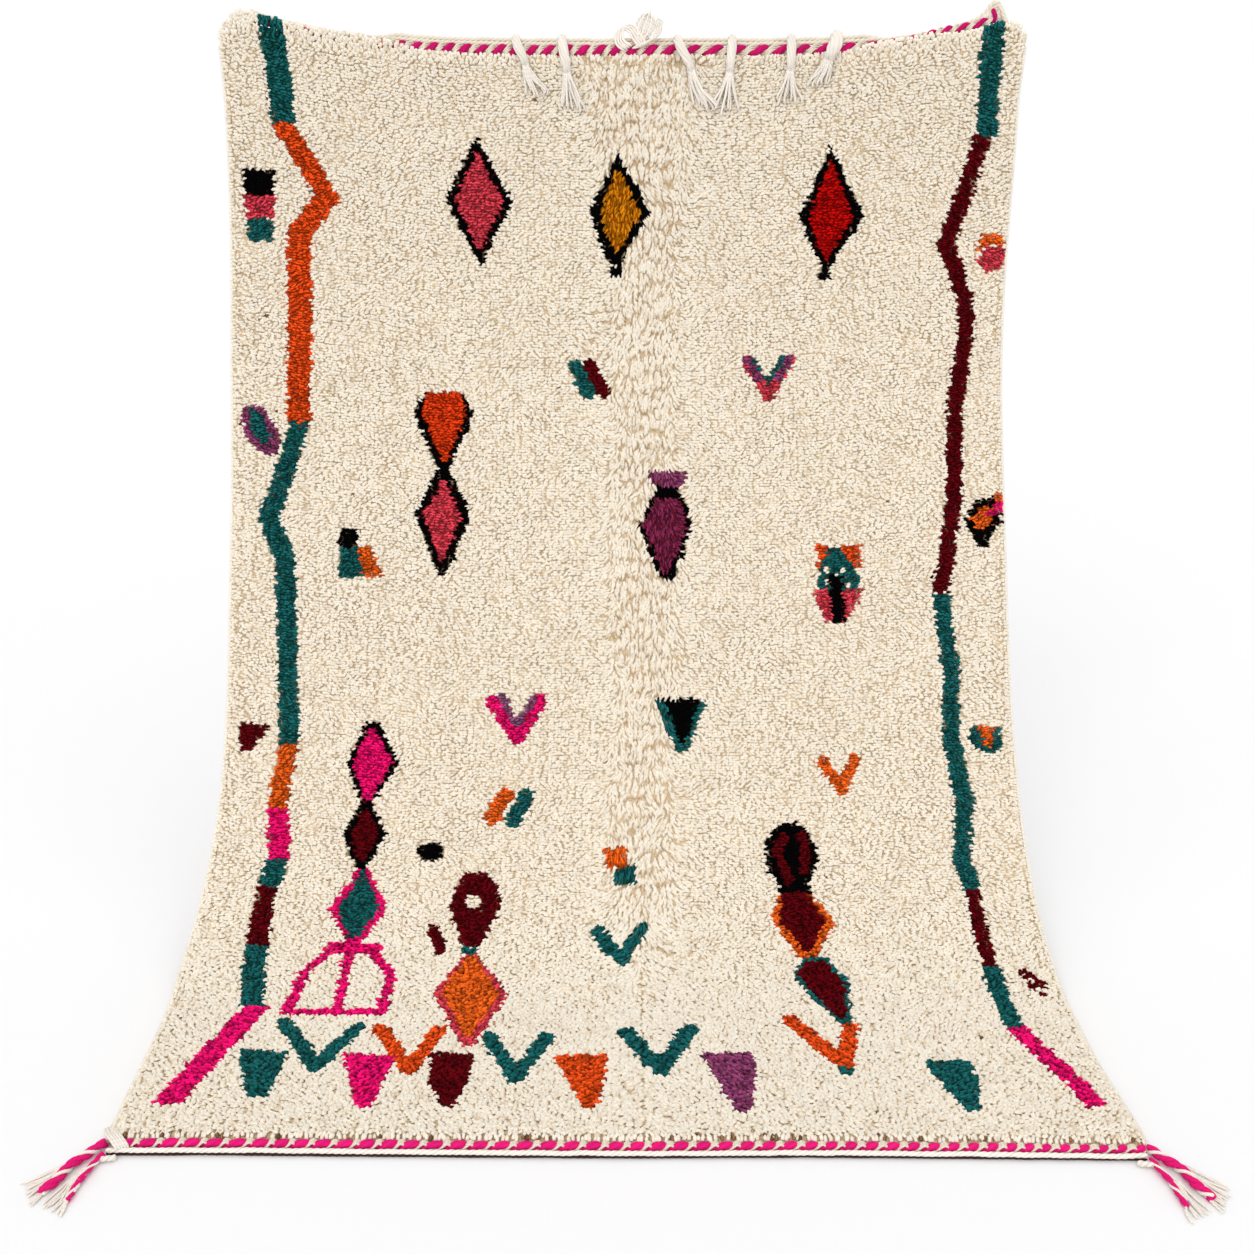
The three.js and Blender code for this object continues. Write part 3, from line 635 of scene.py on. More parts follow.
def knots():
    """Places of all knots: bricks that lie sideways, and bricks that hang down in the middle band."""
    places = []
    for hanging in (False, True):
        wide, high = BRICK[::-1] if hanging else BRICK
        columns, rows = int(2 * HALF_GROUND / wide), int(LENGTH / high)
        column, row = np.meshgrid(np.arange(columns), np.arange(rows))
        column, row = column.ravel() + 0.5, row.ravel() + 0.5
        loose, tight = (RANDOM.uniform(-share, share, len(column)) for share in LOOSENESS)
        column = column + (1.6 * tight if hanging else loose)
        row = row + (loose if hanging else tight)
        across = HALF_GROUND * np.clip(2 * column / columns - 1, -0.997, 0.997)
        cover = np.interp(across, *HEAD_COVER.T)
        top, bottom = head_along(across) + 2 - np.maximum(cover - 5, 0), foot_along(across) - 1
        along = top + (bottom - top) * row / rows
        chosen = combed_down(across, along) == hanging
        places.append(np.stack([across, along])[:, chosen])
    return np.concatenate(places, axis=1)


def flow_at(across, along, sideways):
    """Unit directions in which the pile lies: sideways, down in the middle band, and outwards at the rim.
    Smooth noise turns them."""
    turn = np.pi / 2 * smoothstep(band_at(across, along), 0.25, 0.7)
    turn = turn + 0.6 * smooth_noise(across, along, 17, 1) + 0.4 * smooth_noise(across, along, 45, 2)
    rim = smoothstep(np.abs(across), HALF_GROUND - 16, HALF_GROUND)
    cover = np.interp(across, *HEAD_COVER.T)
    head = smoothstep(head_along(across) + 24 - along, 0, 14) * np.minimum(cover / 8, 1)
    foot = smoothstep(along - foot_along(across) + 14, 0, 12)
    ahead = np.stack([sideways * np.cos(turn), np.sin(turn)])
    ahead = ahead * (1 - np.maximum(rim, np.maximum(head, foot)))
    ahead = ahead + np.stack([np.sign(across) * rim, 0.8 * foot - 0.9 * head])
    return ahead / np.maximum(np.hypot(*ahead), 1e-6)


def tuft_lines(across, along):
    """The bent line of each tuft: its root, belly and end, which follow the flow, and their heights. A tuft
    rises from the bed, lies down and drops at its end, and all of it is kept within the reach of the pile.
    Next to the middle band the tufts fan out from it, and elsewhere smooth noise says to which side they
    lie."""
    count = len(across)
    fan = 3 * np.exp(-(((across - BAND_AT) / 190) ** 2)) * np.sign(across - BAND_AT)
    to_right = smooth_noise(across, along, 130, 4) + fan + RANDOM.normal(0, 0.15, count) > 0
    sideways = np.where(to_right, 1, -1)
    length = RANDOM.uniform(*TUFT_LENGTH, count) * (1 + 0.5 * band_at(across, along))
    crown = TUFT_CROWN + 0.9 * smooth_noise(across, along, 30, 3) + RANDOM.uniform(-1.1, 1.1, count)
    inwards = clumps_at(across, along)
    belly = np.stack([across + inwards[0], along + inwards[1]])
    before = flow_at(across, along, sideways)
    root = belly - before * length * 0.45 + RANDOM.normal(0, 0.8, (2, count))
    after = flow_at(*(belly + before * length * 0.3), sideways)
    end = belly + after * length * 0.55 + RANDOM.normal(0, 1.0, (2, count))
    line = np.stack([root, belly, end], axis=-1)
    outer = HALF_GROUND + RANDOM.uniform(*SIDE_REACH, count)
    line[0] -= (np.sign(across) * np.maximum(np.abs(line[0]).max(axis=-1) - outer, 0))[:, None]
    cover = np.interp(across, *HEAD_COVER.T)
    highest = head_along(across) - cover * RANDOM.uniform(0.85, 1, count)
    lowest = foot_along(across) + RANDOM.uniform(*FOOT_REACH, count)
    line[1] += np.maximum(highest - line[1].min(axis=-1), 0)[:, None]
    line[1] -= np.maximum(line[1].max(axis=-1) - lowest, 0)[:, None]
    height = crown[:, None] - TUFT_DROPS - PARTING_DROP * inwards[2][:, None]
    height -= 5 * smoothstep(np.abs(line[0]), HALF_GROUND - 8, HALF_GROUND + 8)
    height -= 4.5 * smoothstep(line[1] - foot_along(line[0]), -8, 8)
    over = head_along(line[0]) - line[1]
    height += 2.5 * smoothstep(over, -4, 6) * smoothstep(cover, 8, 16)[:, None]
    height -= 5 * smoothstep(over - cover[:, None], -9, 2)
    return line, height


def tuft_places(line, height):
    """Across, along and height of the points of the tufts: a root, then half rings at the belly and at the
    end, each with a left edge, a ridge and a right edge."""
    ahead = np.gradient(line, axis=-1)
    ahead /= np.maximum(np.hypot(*ahead), 1e-6)
    side = np.stack([-ahead[1], ahead[0]])
    over = smoothstep(head_along(line[0]) - line[1], -20, -6)
    over = over * smoothstep(np.interp(line[0], *HEAD_COVER.T), 4, 12)
    radius = RANDOM.uniform(*TUFT_RADIUS, len(height))[:, None] * (1 + 0.4 * over) * TUFT_WIDTHS
    spread = radius[..., None] * np.array([-1.0, 0.0, 1.0])
    lift = radius[..., None] * np.array([-0.75, 0.65, -0.75])
    rings = (line[..., None] + side[..., None] * spread[None], height[..., None] + lift)
    places = np.concatenate([rings[0], rings[1][None]]).reshape(3, len(height), 9)
    return places[:, :, [1, 3, 4, 5, 6, 7, 8]]


def tuft_colours(yarn, across, along):
    """Colour at each point of each tuft: painted shade, deep and warm, at the root, the edges and in the
    partings, and a painted highlight at the cut end. Dye takes unevenly, so dyed tufts differ more from tuft
    to tuft than undyed ones, and their painted shade and highlight are much stronger."""
    dyed = (yarn > 0)[:, None]
    tone = np.where(dyed, 0.9, 1) + RANDOM.uniform(-1, 1, (len(yarn), 1)) * np.where(dyed, 0.5, 0.045)
    warm = RANDOM.uniform(-0.015, 0.015, (len(yarn), 1))
    base = PALETTE[yarn] * np.concatenate([tone + warm, tone, tone - 1.5 * warm], axis=1)
    # In dyed tufts the painted shade and highlight are much stronger, and the same in all three colours.
    deep = TUFT_PAINTED_SHADES.mean(axis=1, keepdims=True) ** DYED_SHADE_POWER * np.ones(3)
    # Painted shade in the partings: the deeper in one a tuft lies, the darker and warmer.
    parting = clumps_at(across, along)[2][..., None]
    shade = np.where(dyed[..., None], deep, TUFT_PAINTED_SHADES) * (1 - parting * (1 - PARTING_PAINTED_SHADE))
    return (base[:, None] * shade).reshape(-1, 3)


def tuft_faces(count):
    """Faces of the tufts, and each corner's place on the bake's map: a square cell for each tuft."""
    first = np.arange(count)[:, None, None] * 7
    quads = np.array([(1, 2, 5, 4), (2, 3, 6, 5)])
    threes = np.array([(0, 2, 1), (0, 3, 2), (4, 5, 6)])
    cells = int(np.ceil(np.sqrt(count)))
    cell = np.stack([np.arange(count) % cells, np.arange(count) // cells], axis=-1) / cells
    rings = [(side, low) for low in (0.4, 0.76) for side in (0.08, 0.5, 0.92)]
    spot = np.array([(0.5, 0.08), *rings])
    three_spot = spot[threes]
    three_spot[2] = [(0.08, 0.82), (0.5, 0.94), (0.92, 0.82)]
    faces = [(first + quads).reshape(-1, 4), (first + threes).reshape(-1, 3)]
    unwrap = [
        (cell[:, None, None] + spot[quads] / cells).reshape(-1, 2),
        (cell[:, None, None] + three_spot / cells).reshape(-1, 2),
    ]
    return faces, unwrap


def make_pile():
    """The tufts in four pieces, from the head to the foot. A knot's yarn is that of the motif near its
    middle, as no knot sits quite in its place."""
    across, along = knots()
    pieces = []
    low = -np.inf
    for name, high in PILE_PIECES:
        chosen = (along >= low) & (along < high)
        low = high
        line, height = tuft_lines(across[chosen], along[chosen])
        count = len(height)
        middle = line.mean(axis=-1) + RANDOM.normal(0, 1, (2, count)) * [[1.7], [1.0]]
        yarn = yarn_at(*middle)
        last_rows = middle[1] > foot_along(middle[0]) - FOOT_STRAY_ROWS
        stray = RANDOM.random(count) < STRAY_SHARE + FOOT_STRAY_SHARE * last_rows
        yarn[stray & (yarn == 0)] = YARN_NAMES.index("brown")
        places = tuft_places(line, height)
        faces, unwrap = tuft_faces(count)
        points = place(*places.reshape(3, -1))
        colours = tuft_colours(yarn, places[0], places[1])
        piece = new_piece(
            f"pile_{name}", points, faces, PILE_WOOL, "rug_field", colours, unwrap
        )
        pieces.append(piece)
    return pieces


# The woven ground with the dense bed of the pile on it.
GROUND_CELLS = (112, 172)
GROUND_BACK = 0.4  # height of its back
BED_HEIGHT = 16.0
# The bed's colour is its yarn's darkened and warmed: painted shade for the gaps of the pile, where it is
# seen.
BED_PAINTED_SHADE = np.array([0.78, 0.65, 0.48])
BACK_TONE = np.array([0.9, 0.88, 0.84])


def make_ground():
    """One closed slab on an even grid from the head edge to the foot edge. Its front is the bed, at its
    height plus smooth noise, which comes down to the foot."""
    columns, rows = GROUND_CELLS
    line = np.linspace(-HALF_GROUND, HALF_GROUND, columns + 1)
    across, share = np.meshgrid(line, np.linspace(0, 1, rows + 1))
    along = head_along(across) + (foot_along(across) - head_along(across)) * share
    bed = BED_HEIGHT + smooth_noise(across, along, 12, 5)
    bed = bed - 6 * smoothstep(along - foot_along(across), -16, 0)
    back = np.full_like(bed, GROUND_BACK)
    points = np.concatenate([place(across, along, height).reshape(-1, 3) for height in (bed, back)])
    number = np.arange((columns + 1) * (rows + 1)).reshape(rows + 1, columns + 1)
    a, b, c, d = number[:-1, :-1], number[1:, :-1], number[1:, 1:], number[:-1, 1:]
    front = np.stack([a, b, c, d], axis=-1).reshape(-1, 4)
    behind = np.stack([a, d, c, b], axis=-1).reshape(-1, 4) + number.size
    rim = np.concatenate([number[:-1, 0], number[-1, :-1], number[:0:-1, -1], number[0, :0:-1]])
    rim_next = np.roll(rim, -1)
    wall = np.stack([rim, rim + number.size, rim_next + number.size, rim_next], axis=-1)

    yarn = yarn_at(across.ravel(), along.ravel())
    dyed = PALETTE[yarn]
    # Painted shade on the bed, which shows in the gaps of the pile.
    colours = np.concatenate([dyed * BED_PAINTED_SHADE, dyed * BACK_TONE])
    spot = np.stack([(across / HALF_GROUND + 1) / 2, 1 - share], axis=-1).reshape(-1, 2)
    spots = np.concatenate([spot * [0.48, 0.98] + [0.01, 0.01], spot * [0.48, 0.98] + [0.51, 0.01]])
    wall_spot = spots[wall]
    wall_spot[:, 1:3] = wall_spot[:, [0, 3]] + [0.002, 0.0]
    unwrap = [spots[front], spots[behind], wall_spot]
    faces = [front, behind, wall]
    piece = new_piece("woven_ground", points, faces, GROUND_WOOL, "rug_field", colours, unwrap)
    cloth = piece.data.attributes.new("cloth", "FLOAT_VECTOR", "POINT")
    flat = np.stack([across.ravel(), along.ravel(), np.zeros(across.size)], axis=-1) * MM
    set_all(cloth.data, "vector", np.concatenate([flat, flat]))
    return piece


# Cords, yarns and strands.
def spline(points, count):
    """Evenly spaced points on a smooth curve through the given ones (Catmull-Rom)."""
    points = np.asarray(points, float)
    padded = np.concatenate([[2 * points[0] - points[1]], points, [2 * points[-1] - points[-2]]])
    fine = []
    share = np.linspace(0, 1, 24, endpoint=False)[:, None]
    for p, q, r, s in zip(padded, padded[1:], padded[2:], padded[3:]):
        square, cube = (2 * p - 5 * q + 4 * r - s) * share**2, (3 * q - 3 * r + s - p) * share**3
        fine.append(0.5 * (2 * q + (r - p) * share + square + cube))
    fine = np.concatenate([*fine, points[-1:]])
    run = np.concatenate([[0], np.cumsum(np.linalg.norm(np.diff(fine, axis=0), axis=1))])
    even = np.linspace(0, run[-1], count)
    return np.stack([np.interp(even, run, fine[:, k]) for k in range(fine.shape[1])], axis=-1)


def frames_along(line, facing):
    """Side and up directions along a line, up being as near to the facing direction as the line allows."""
    ahead = np.gradient(line, axis=0)
    ahead /= np.linalg.norm(ahead, axis=1, keepdims=True)
    side = np.cross(ahead, facing)
    side /= np.linalg.norm(side, axis=1, keepdims=True)
    return side, np.cross(side, ahead)


def run_along(line):
    """Distance along a line at each of its points."""
    return np.concatenate([[0], np.cumsum(np.linalg.norm(np.diff(line, axis=0), axis=1))])


class Tubes:
    """Tubes that are gathered into one piece. The radius of a tube's section at an angle t is
    r (1 + depth (|cos(lobes/2 (t - w))| - 0.64)), where w makes a full turn over each length of the twist,
    and 0.64 is that cosine's mean. A tube narrows to its two caps."""

    def __init__(self):
        self.points, self.faces, self.caps, self.colours, self.rings = [], [], [], [], []
        self.count = 0

    def add(self, line, facing, radius, colour, sides=8, lobes=0, depth=0.0, twist=1.0):
        line = np.asarray(line, float)
        steps = len(line)
        side, up = frames_along(line, facing)
        radius = np.broadcast_to(np.asarray(radius, float), steps).copy()
        radius[0] *= 0.35
        radius[-1] *= 0.35
        angle = 2 * np.pi * np.arange(sides) / sides
        wound = 2 * np.pi * run_along(line)[:, None] / twist
        grow = 1 + depth * (np.abs(np.cos(lobes / 2 * (angle - wound))) - 0.64) if lobes else 1.0
        size = radius[:, None] * grow * np.ones((steps, sides))
        ring = (
            line[:, None]
            + side[:, None] * (size * np.cos(angle))[..., None]
            + up[:, None] * (size * np.sin(angle))[..., None]
        )
        number = self.count + np.arange(steps * sides).reshape(steps, sides)
        ahead = np.roll(number, -1, axis=1)
        quads = np.stack([number[:-1], ahead[:-1], ahead[1:], number[1:]], axis=-1)
        self.faces.append(quads.reshape(-1, 4))
        self.caps += [number[:1, ::-1], number[-1:]]
        self.points.append(ring.reshape(-1, 3))
        colour = np.broadcast_to(np.asarray(colour, float), (steps, 3))
        # Painted shade between the plies and painted light on their crowns: the colour follows the lobes.
        shade = 1 + 0.3 * (grow - 1) / depth if lobes else np.ones((steps, sides))
        self.colours.append((colour[:, None] * shade[..., None]).reshape(-1, 3))
        self.rings.append((steps - 1, sides))
        self.count += steps * sides

    def unwrap(self):
        """Strips of the tubes in rows that share the bake's map, one cell to a step."""
        total = sum(steps for steps, _ in self.rings)
        row = max(1, int(np.sqrt(total * 8)))
        rows = total // row + 1
        places, start = [], 0
        for steps, sides in self.rings:
            cell = start + np.repeat(np.arange(steps), sides)
            around = np.tile(np.arange(sides), steps) / sides
            u, v = (cell % row) / row, (cell // row) / rows
            du, dv = 0.96 / row, 0.9 / rows
            low, high = v + dv * around, v + dv * (around + 1 / sides)
            corners = [(u, low), (u, high), (u + du, high), (u + du, low)]
            places.append(np.stack([np.stack(corner, axis=-1) for corner in corners], axis=1))
            start += steps
        caps = [np.full((cap.size, 2), 0.999) for cap in self.caps]
        return [*(part.reshape(-1, 2) for part in places), *caps]

    def piece(self, name, material, slot, node):
        points, colours = np.concatenate(self.points), np.concatenate(self.colours)
        faces = [*self.faces, *self.caps]
        return new_piece(name, points, faces, material, node, colours, self.unwrap())


def colour_of(name, tone=1.0):
    return PALETTE[YARN_NAMES.index(name)] * tone


# How the strands and loose yarns are spun: of two plies.
TWO_PLY = {"sides": 8, "lobes": 2, "depth": 0.3}


# The selvedges: yarn wound over the outermost warps.
SELVEDGE_OUT = 3.0
SELVEDGE_RADIUS = 5.0
SELVEDGE_HEIGHT = 6.0
SELVEDGE_WRAP = 7.0


def make_selvedge(side, name):
    """A tube along a side of the ground. It swells with |sin| over each turn of the yarn, and is painted
    lighter on each turn and darker between them, as painted light and shade.
    """
    across = side * (HALF_GROUND + SELVEDGE_OUT)
    top, bottom = float(head_along(across)) + 2, float(foot_along(across)) - 2
    along = np.linspace(top, bottom, 600)
    line = place(across, along, SELVEDGE_HEIGHT)
    wrap = np.abs(np.sin(np.pi * along / SELVEDGE_WRAP + 0.8 * noise_along(along, 30, 7)))
    radius = (SELVEDGE_RADIUS + 0.9 * (wrap - 0.6)) * MM
    # Painted shade between the turns of the wrap, and painted light on them.
    tone = 0.8 + 0.2 * wrap[:, None]
    tubes = Tubes()
    tubes.add(line, facing_at(along), radius, colour_of("cream") * tone, sides=7)
    return tubes.piece(name, GROUND_WOOL, "wool_pile", "rug_field")


# The ends.
HEAD_HALF_SPAN = 690.0
FOOT_HALF_SPAN = 735.0
FOOT_TWINING_FROM = -720.0
# A twining: how far its middle is off the edge of the ground, its height, the radius of its pink and its
# cream yarns, how far they sway up and sideways, the share of its thickness that it loses at its two ends,
# and the tone of its pink yarn.
HEAD_TWINING = {
    "off": 9.4, "height": 9.4, "pink": 6.5, "cream": 2.2, "up": 2.6, "sideways": 5.4,
    "taper": (0.3, 0.3), "tone": 0.7,
}
FOOT_TWINING = {
    "off": 9.2, "height": 9.6, "pink": 6.0, "cream": 2.0, "up": 2.4, "sideways": 1.2,
    "taper": (0.0, 0.1), "tone": 1.0,
}
# Length of a turn: across, then the length.
HEAD_TURNS = np.array([(-700, 30), (0, 31), (180, 42), (560, 38), (700, 30)], float)
FOOT_TURNS = np.array([(-735, 31), (0, 32), (735, 25)], float)
# Where the head's twining leaves the edge on the right and turns up, across, along and height, and how much
# further off the edge it is before that, across and how far.
HEAD_TWINING_TO = 666.0
HEAD_TWINING_END = [(675, -2, 11), (679, -10, 12), (680, -22, 12)]
HEAD_TWINING_RISE = np.array([(530, 0), (590, 6), (626, 4), (660, 0)], float)
# How much longer the pink yarn stays on top: across, then from 0 for as long as the cream.
HEAD_PINK_SHARES = np.array([(0, 0.15)])
FOOT_PINK_SHARES = np.array([(-700, 0.45), (0, 0.3), (700, -0.25)])


def make_twining(name, node, places, sizes, turns, pink_shares):
    """A pink yarn, and three thin cream ones side by side, that pass over each other. Their phase at turn u
    is 2 pi u + a sin(2 pi u): it is slow where the pink is on top, so that it shows as long slanted ovals."""
    across, along, height = (np.array(part, float) for part in places)
    line = spline(place(across, along, height), 700)
    share = np.linspace(0, 1, len(line))
    place_share = np.linspace(0, 1, len(across))
    facing = facing_at(np.interp(share, place_share, along))
    across = np.interp(share, place_share, across)
    side, up = frames_along(line, facing)
    run = run_along(line) / MM
    turn = np.cumsum(np.gradient(run) / np.interp(across, *turns.T)) + 0.14 * noise_along(run, 70, 11)
    phase = 2 * np.pi * turn + np.interp(across, *pink_shares.T) * np.sin(2 * np.pi * turn)
    thinner = np.where(share < 0.5, *sizes["taper"]) * np.abs(2 * share - 1) ** 3
    full = (1 - thinner) * (1 + 0.08 * noise_along(run, 40, 12))
    top = -np.cos(phase)

    def swung(lift, shift):
        return line + (up * (lift * full)[:, None] + side * (shift * full)[:, None]) * MM

    tubes = Tubes()
    pink = swung(top * sizes["up"], np.sin(phase) * sizes["sideways"])
    radius = sizes["pink"] * (0.86 + 0.14 * top) * full * MM
    tone = sizes["tone"] * (1 + 0.12 * noise_along(run, 24, 51))
    pink_tone = colour_of("twined_pink") * tone[:, None]
    tubes.add(pink, facing, radius, pink_tone, sides=12, lobes=4, depth=0.1, twist=60 * MM)
    for beside in (-1.8, 0, 1.8):
        shift = -np.sin(phase) * sizes["sideways"] + beside * sizes["cream"]
        lift = -top * (sizes["up"] + sizes["pink"] * 0.42) + 1.0
        cream = swung(lift, shift)
        radius = sizes["cream"] * full * MM
        tubes.add(cream, facing, radius, colour_of("warp"), sides=6, lobes=2, depth=0.3, twist=9 * MM)
    return tubes.piece(name, TWINED_WOOL, "twined_yarn", node)


# Cords along an edge: yarn, how far off the ground's edge, height, radius, how far they wave, and the share
# of their radius that they lose towards the right.
HEAD_CORDS = [("warp", 21.4, 5.2, 4.2, 0.8, 0), ("warp", 27.8, 4.4, 3.3, 1.1, 0)]
# The foot's second row is no real cord: a thin dark umber yarn in the gap under the cotton cord, a painted
# shadow that thins to the right.
FOOT_CORDS = [("cotton", 21.6, 9.0, 3.5, 0.8, 0), ("umber_painted_shadow", 21.0, 2.7, 2.6, 0.4, 0.4)]
# Over the right end of the head's twining the cords rise to a peak, then fall: across, along and height. The
# second cord is a little outside the first.
HEAD_CORDS_TO = 650.0
HEAD_CORDS_APART = np.array([3, 5, 0])
HEAD_CORDS_END = [(664, -14, 7), (674, -28, 8), (682, -33, 9), (690, -26, 10), (697, -9, 11), (703, 3, 13)]
CORD_TURN = 30.0
# Where the pile rolls over the head, the cords lie closer to the ground: across, then the most they are off
# it. The foot's cords have room everywhere.
HEAD_CORDS_WITHIN = np.array(
    [(-690, 19), (-460, 19), (-370, 40), (440, 40), (480, 17), (620, 17), (690, 19)], float
)
FOOT_CORDS_WITHIN = np.array([(0.0, 40.0)])


def make_cords(name, node, edge, outward, span, rows, within, add_loose_yarns, ending=()):
    """Laid cords of three plies that run beside each other along an edge, then to their ending. Smooth noise
    makes them a little wavy and uneven. The loose yarns at a corner belong to their piece."""
    tubes = Tubes()
    for number, (yarn, off, height, radius, wave, thinner) in enumerate(rows):
        across = np.linspace(*span, 60)
        off = np.minimum(off, np.interp(across, *within.T))
        across, along = off_edge(edge, across, outward * off)
        route = np.stack([across, along, np.full_like(across, height)], axis=-1)
        last = np.array(ending, float).reshape(-1, 3) + number * HEAD_CORDS_APART
        route = np.concatenate([route, last])
        line = spline(place(*route.T), 500)
        share, place_share = np.linspace(0, 1, len(line)), np.linspace(0, 1, len(route))
        facing = facing_at(np.interp(share, place_share, route[:, 1]))
        run = run_along(line) / MM
        side, up = frames_along(line, facing)
        line = line + side * (wave * MM * noise_along(run, 26, 13 + number))[:, None]
        line = line + up * (0.5 * wave * MM * noise_along(run, 34, 23 + number))[:, None]
        uneven = 1 + 0.07 * noise_along(run, 14, 33 + number)
        size = radius * (1 - thinner * run / run[-1]) * uneven * MM
        tubes.add(line, facing, size, colour_of(yarn), sides=9, lobes=3, depth=0.34, twist=CORD_TURN * MM)
    add_loose_yarns(tubes)
    return tubes.piece(name, COTTON, "cotton_cord", node)


# Yarns that come down from the left selvedge and cross over the end of the foot's twining: across, along from
# the foot's line, and height, then how far apart they are.
CORNER_YARNS = [(-744, -30, 9), (-738, -14, 14), (-728, 2, 19), (-718, 14, 18), (-709, 22, 11)]
CORNER_YARNS_APART = (3.4, -1.6, 0.8)


def add_corner_yarns(tubes):
    """Five yarns on parallel curves, every other one a little higher."""
    aside, back, higher = CORNER_YARNS_APART
    for k in range(5):
        rows = np.array(CORNER_YARNS, float) + [aside * (k - 2), back * (k - 2), higher * (k % 2)]
        rows[:, 1] += foot_along(rows[:, 0])
        line = spline(place(*rows.T), 18)
        facing = facing_at(np.full(len(line), float(rows[2, 1])))
        tubes.add(line, facing, 2.3 * MM, colour_of("cotton", 0.96), **TWO_PLY, twist=14 * MM)


def add_peak_yarns(tubes):
    """Warp ends gathered to the peak at the right corner of the head: nine curves from an even row of roots
    to a short row of tips, bowed outwards in their middle."""
    for k in range(9):
        share = k / 8
        root = np.array([650 + 53 * share, 5 - 3 * share, 4.5 + k % 2])
        tip = np.array([677 + 11 * share, -31 + 6 * abs(2 * share - 0.8), 6])
        middle = (root + tip) / 2 + [4 * (share - 0.5), 5 * (0.6 - share), 2]
        line = spline(place(*np.array([root, middle, tip]).T), 16)
        facing = facing_at(np.zeros(len(line)))
        tubes.add(line, facing, 3.6 * MM, colour_of("cotton", 0.97), **TWO_PLY, twist=16 * MM)


def make_ends():
    """The twinings and the cords, each along its edge of the ground and off it by its own distance."""
    across = np.linspace(-HEAD_HALF_SPAN, HEAD_TWINING_TO, 60)
    off = HEAD_TWINING["off"] + np.interp(across, *HEAD_TWINING_RISE.T, right=0)
    across, along = off_edge(head_along, across, -off)
    route = np.stack([across, along, np.full_like(across, HEAD_TWINING["height"])], axis=-1)
    route = np.concatenate([route, np.array(HEAD_TWINING_END, float)])
    make_twining("head_twining_yarns", "head_twining", route.T, HEAD_TWINING, HEAD_TURNS, HEAD_PINK_SHARES)
    across = np.linspace(FOOT_TWINING_FROM, FOOT_HALF_SPAN, 60)
    height = np.full_like(across, FOOT_TWINING["height"])
    route = (across, foot_along(across) + FOOT_TWINING["off"], height)
    make_twining("foot_twining_yarns", "foot_twining", route, FOOT_TWINING, FOOT_TURNS, FOOT_PINK_SHARES)
    make_cords(
        "head_cords", "head_cord", head_along, -1, (-HEAD_HALF_SPAN, HEAD_CORDS_TO),
        HEAD_CORDS, HEAD_CORDS_WITHIN, add_peak_yarns, HEAD_CORDS_END,
    )
    make_cords(
        "foot_cords", "foot_cord", foot_along, 1, (-FOOT_HALF_SPAN, FOOT_HALF_SPAN),
        FOOT_CORDS, FOOT_CORDS_WITHIN, add_corner_yarns,
    )


# The tassels at the head: number, across, how far its tips are past the head edge, how far it leans to the
# right, the thickness of its neck as a share of the usual one, and how far down the neck reaches, likewise.
HANGING_TASSELS = [
    (1, -193, 76, 37, 1.0, 0.75),
    (2, -108, 104, 18, 1.05, 1.0),
    (4, 104, 104, 55, 1.0, 0.95),
    (5, 204, 108, -7, 1.0, 1.0),
    (6, 312, 90, 0, 1.0, 0.95),
    (7, 395, 64, -30, 1.45, 0.6),
]
# The route of a neck, up from behind the cord and over it: share of the lean, along from the edge of the
# ground, and height.
HANGING_NECK = np.array(
    [(0, -29.6, 6), (0, -28.6, 15), (0.06, -20, 24), (0.18, -7, 30), (0.35, 10, 32), (0.5, 30, 31)]
)
NECK_TOP = -20.0  # from here on, the reach counts
NECK_RADIUS = 8.3
NECK_YARNS = 6
STRAND_RADIUS = (2.3, 2.9)
HEAD_STRANDS = 9
HEAD_FAN = 24.0  # half the width of the tips
FORWARD = np.array([0, -1.0, 0])


def add_neck(tubes, line, facing, radius):
    """Yarns laid loosely round each other, each on a helix round the line, with a binding of yarn wound three
    times round them near their end."""
    run = run_along(line) / MM
    side, up = frames_along(line, facing)

    def round_the_line(turn, away):
        return line + (side * (np.cos(turn) * away)[:, None] + up * (np.sin(turn) * away)[:, None]) * MM

    narrow = 1 - 0.22 * smoothstep(run, run[-1] - 22, run[-1] - 7)
    for k in range(NECK_YARNS):
        turn = 2 * np.pi * (k / NECK_YARNS + run / 150) + 0.5 * noise_along(run, 14, 41, k)
        away = radius * 0.6 * narrow * (1 + 0.12 * noise_along(run, 9, 42, k))
        size = radius * 0.44 * narrow * MM
        colour = colour_of("cotton", RANDOM.uniform(0.9, 1.0))
        tubes.add(round_the_line(turn, away), facing, size, colour, sides=7)
    bound = np.linspace(run[-1] - 9, run[-1] - 4, 36)
    middle, across, above = (
        np.stack([np.interp(bound, run, part[:, axis]) for axis in range(3)], axis=-1)
        for part in (line, side, up)
    )
    turn = np.linspace(0, 6 * np.pi, len(bound))[:, None]
    wound = middle + (across * np.cos(turn) + above * np.sin(turn)) * radius * 0.84 * MM
    ahead = middle[-1] - middle[0]
    tubes.add(wound, ahead / np.linalg.norm(ahead), 1.1 * MM, colour_of("cotton", 0.92), sides=5)


def add_strand(tubes, points, facing, radius, tip=0.8):
    """One strand through points, which thins evenly to a share of its radius at its tip."""
    line = spline(points, 16)
    size = radius * np.linspace(1, tip, len(line)) * MM
    colour = colour_of("cotton", RANDOM.uniform(0.92, 1.03))
    tubes.add(line, facing, size, colour, **TWO_PLY, twist=16 * MM)


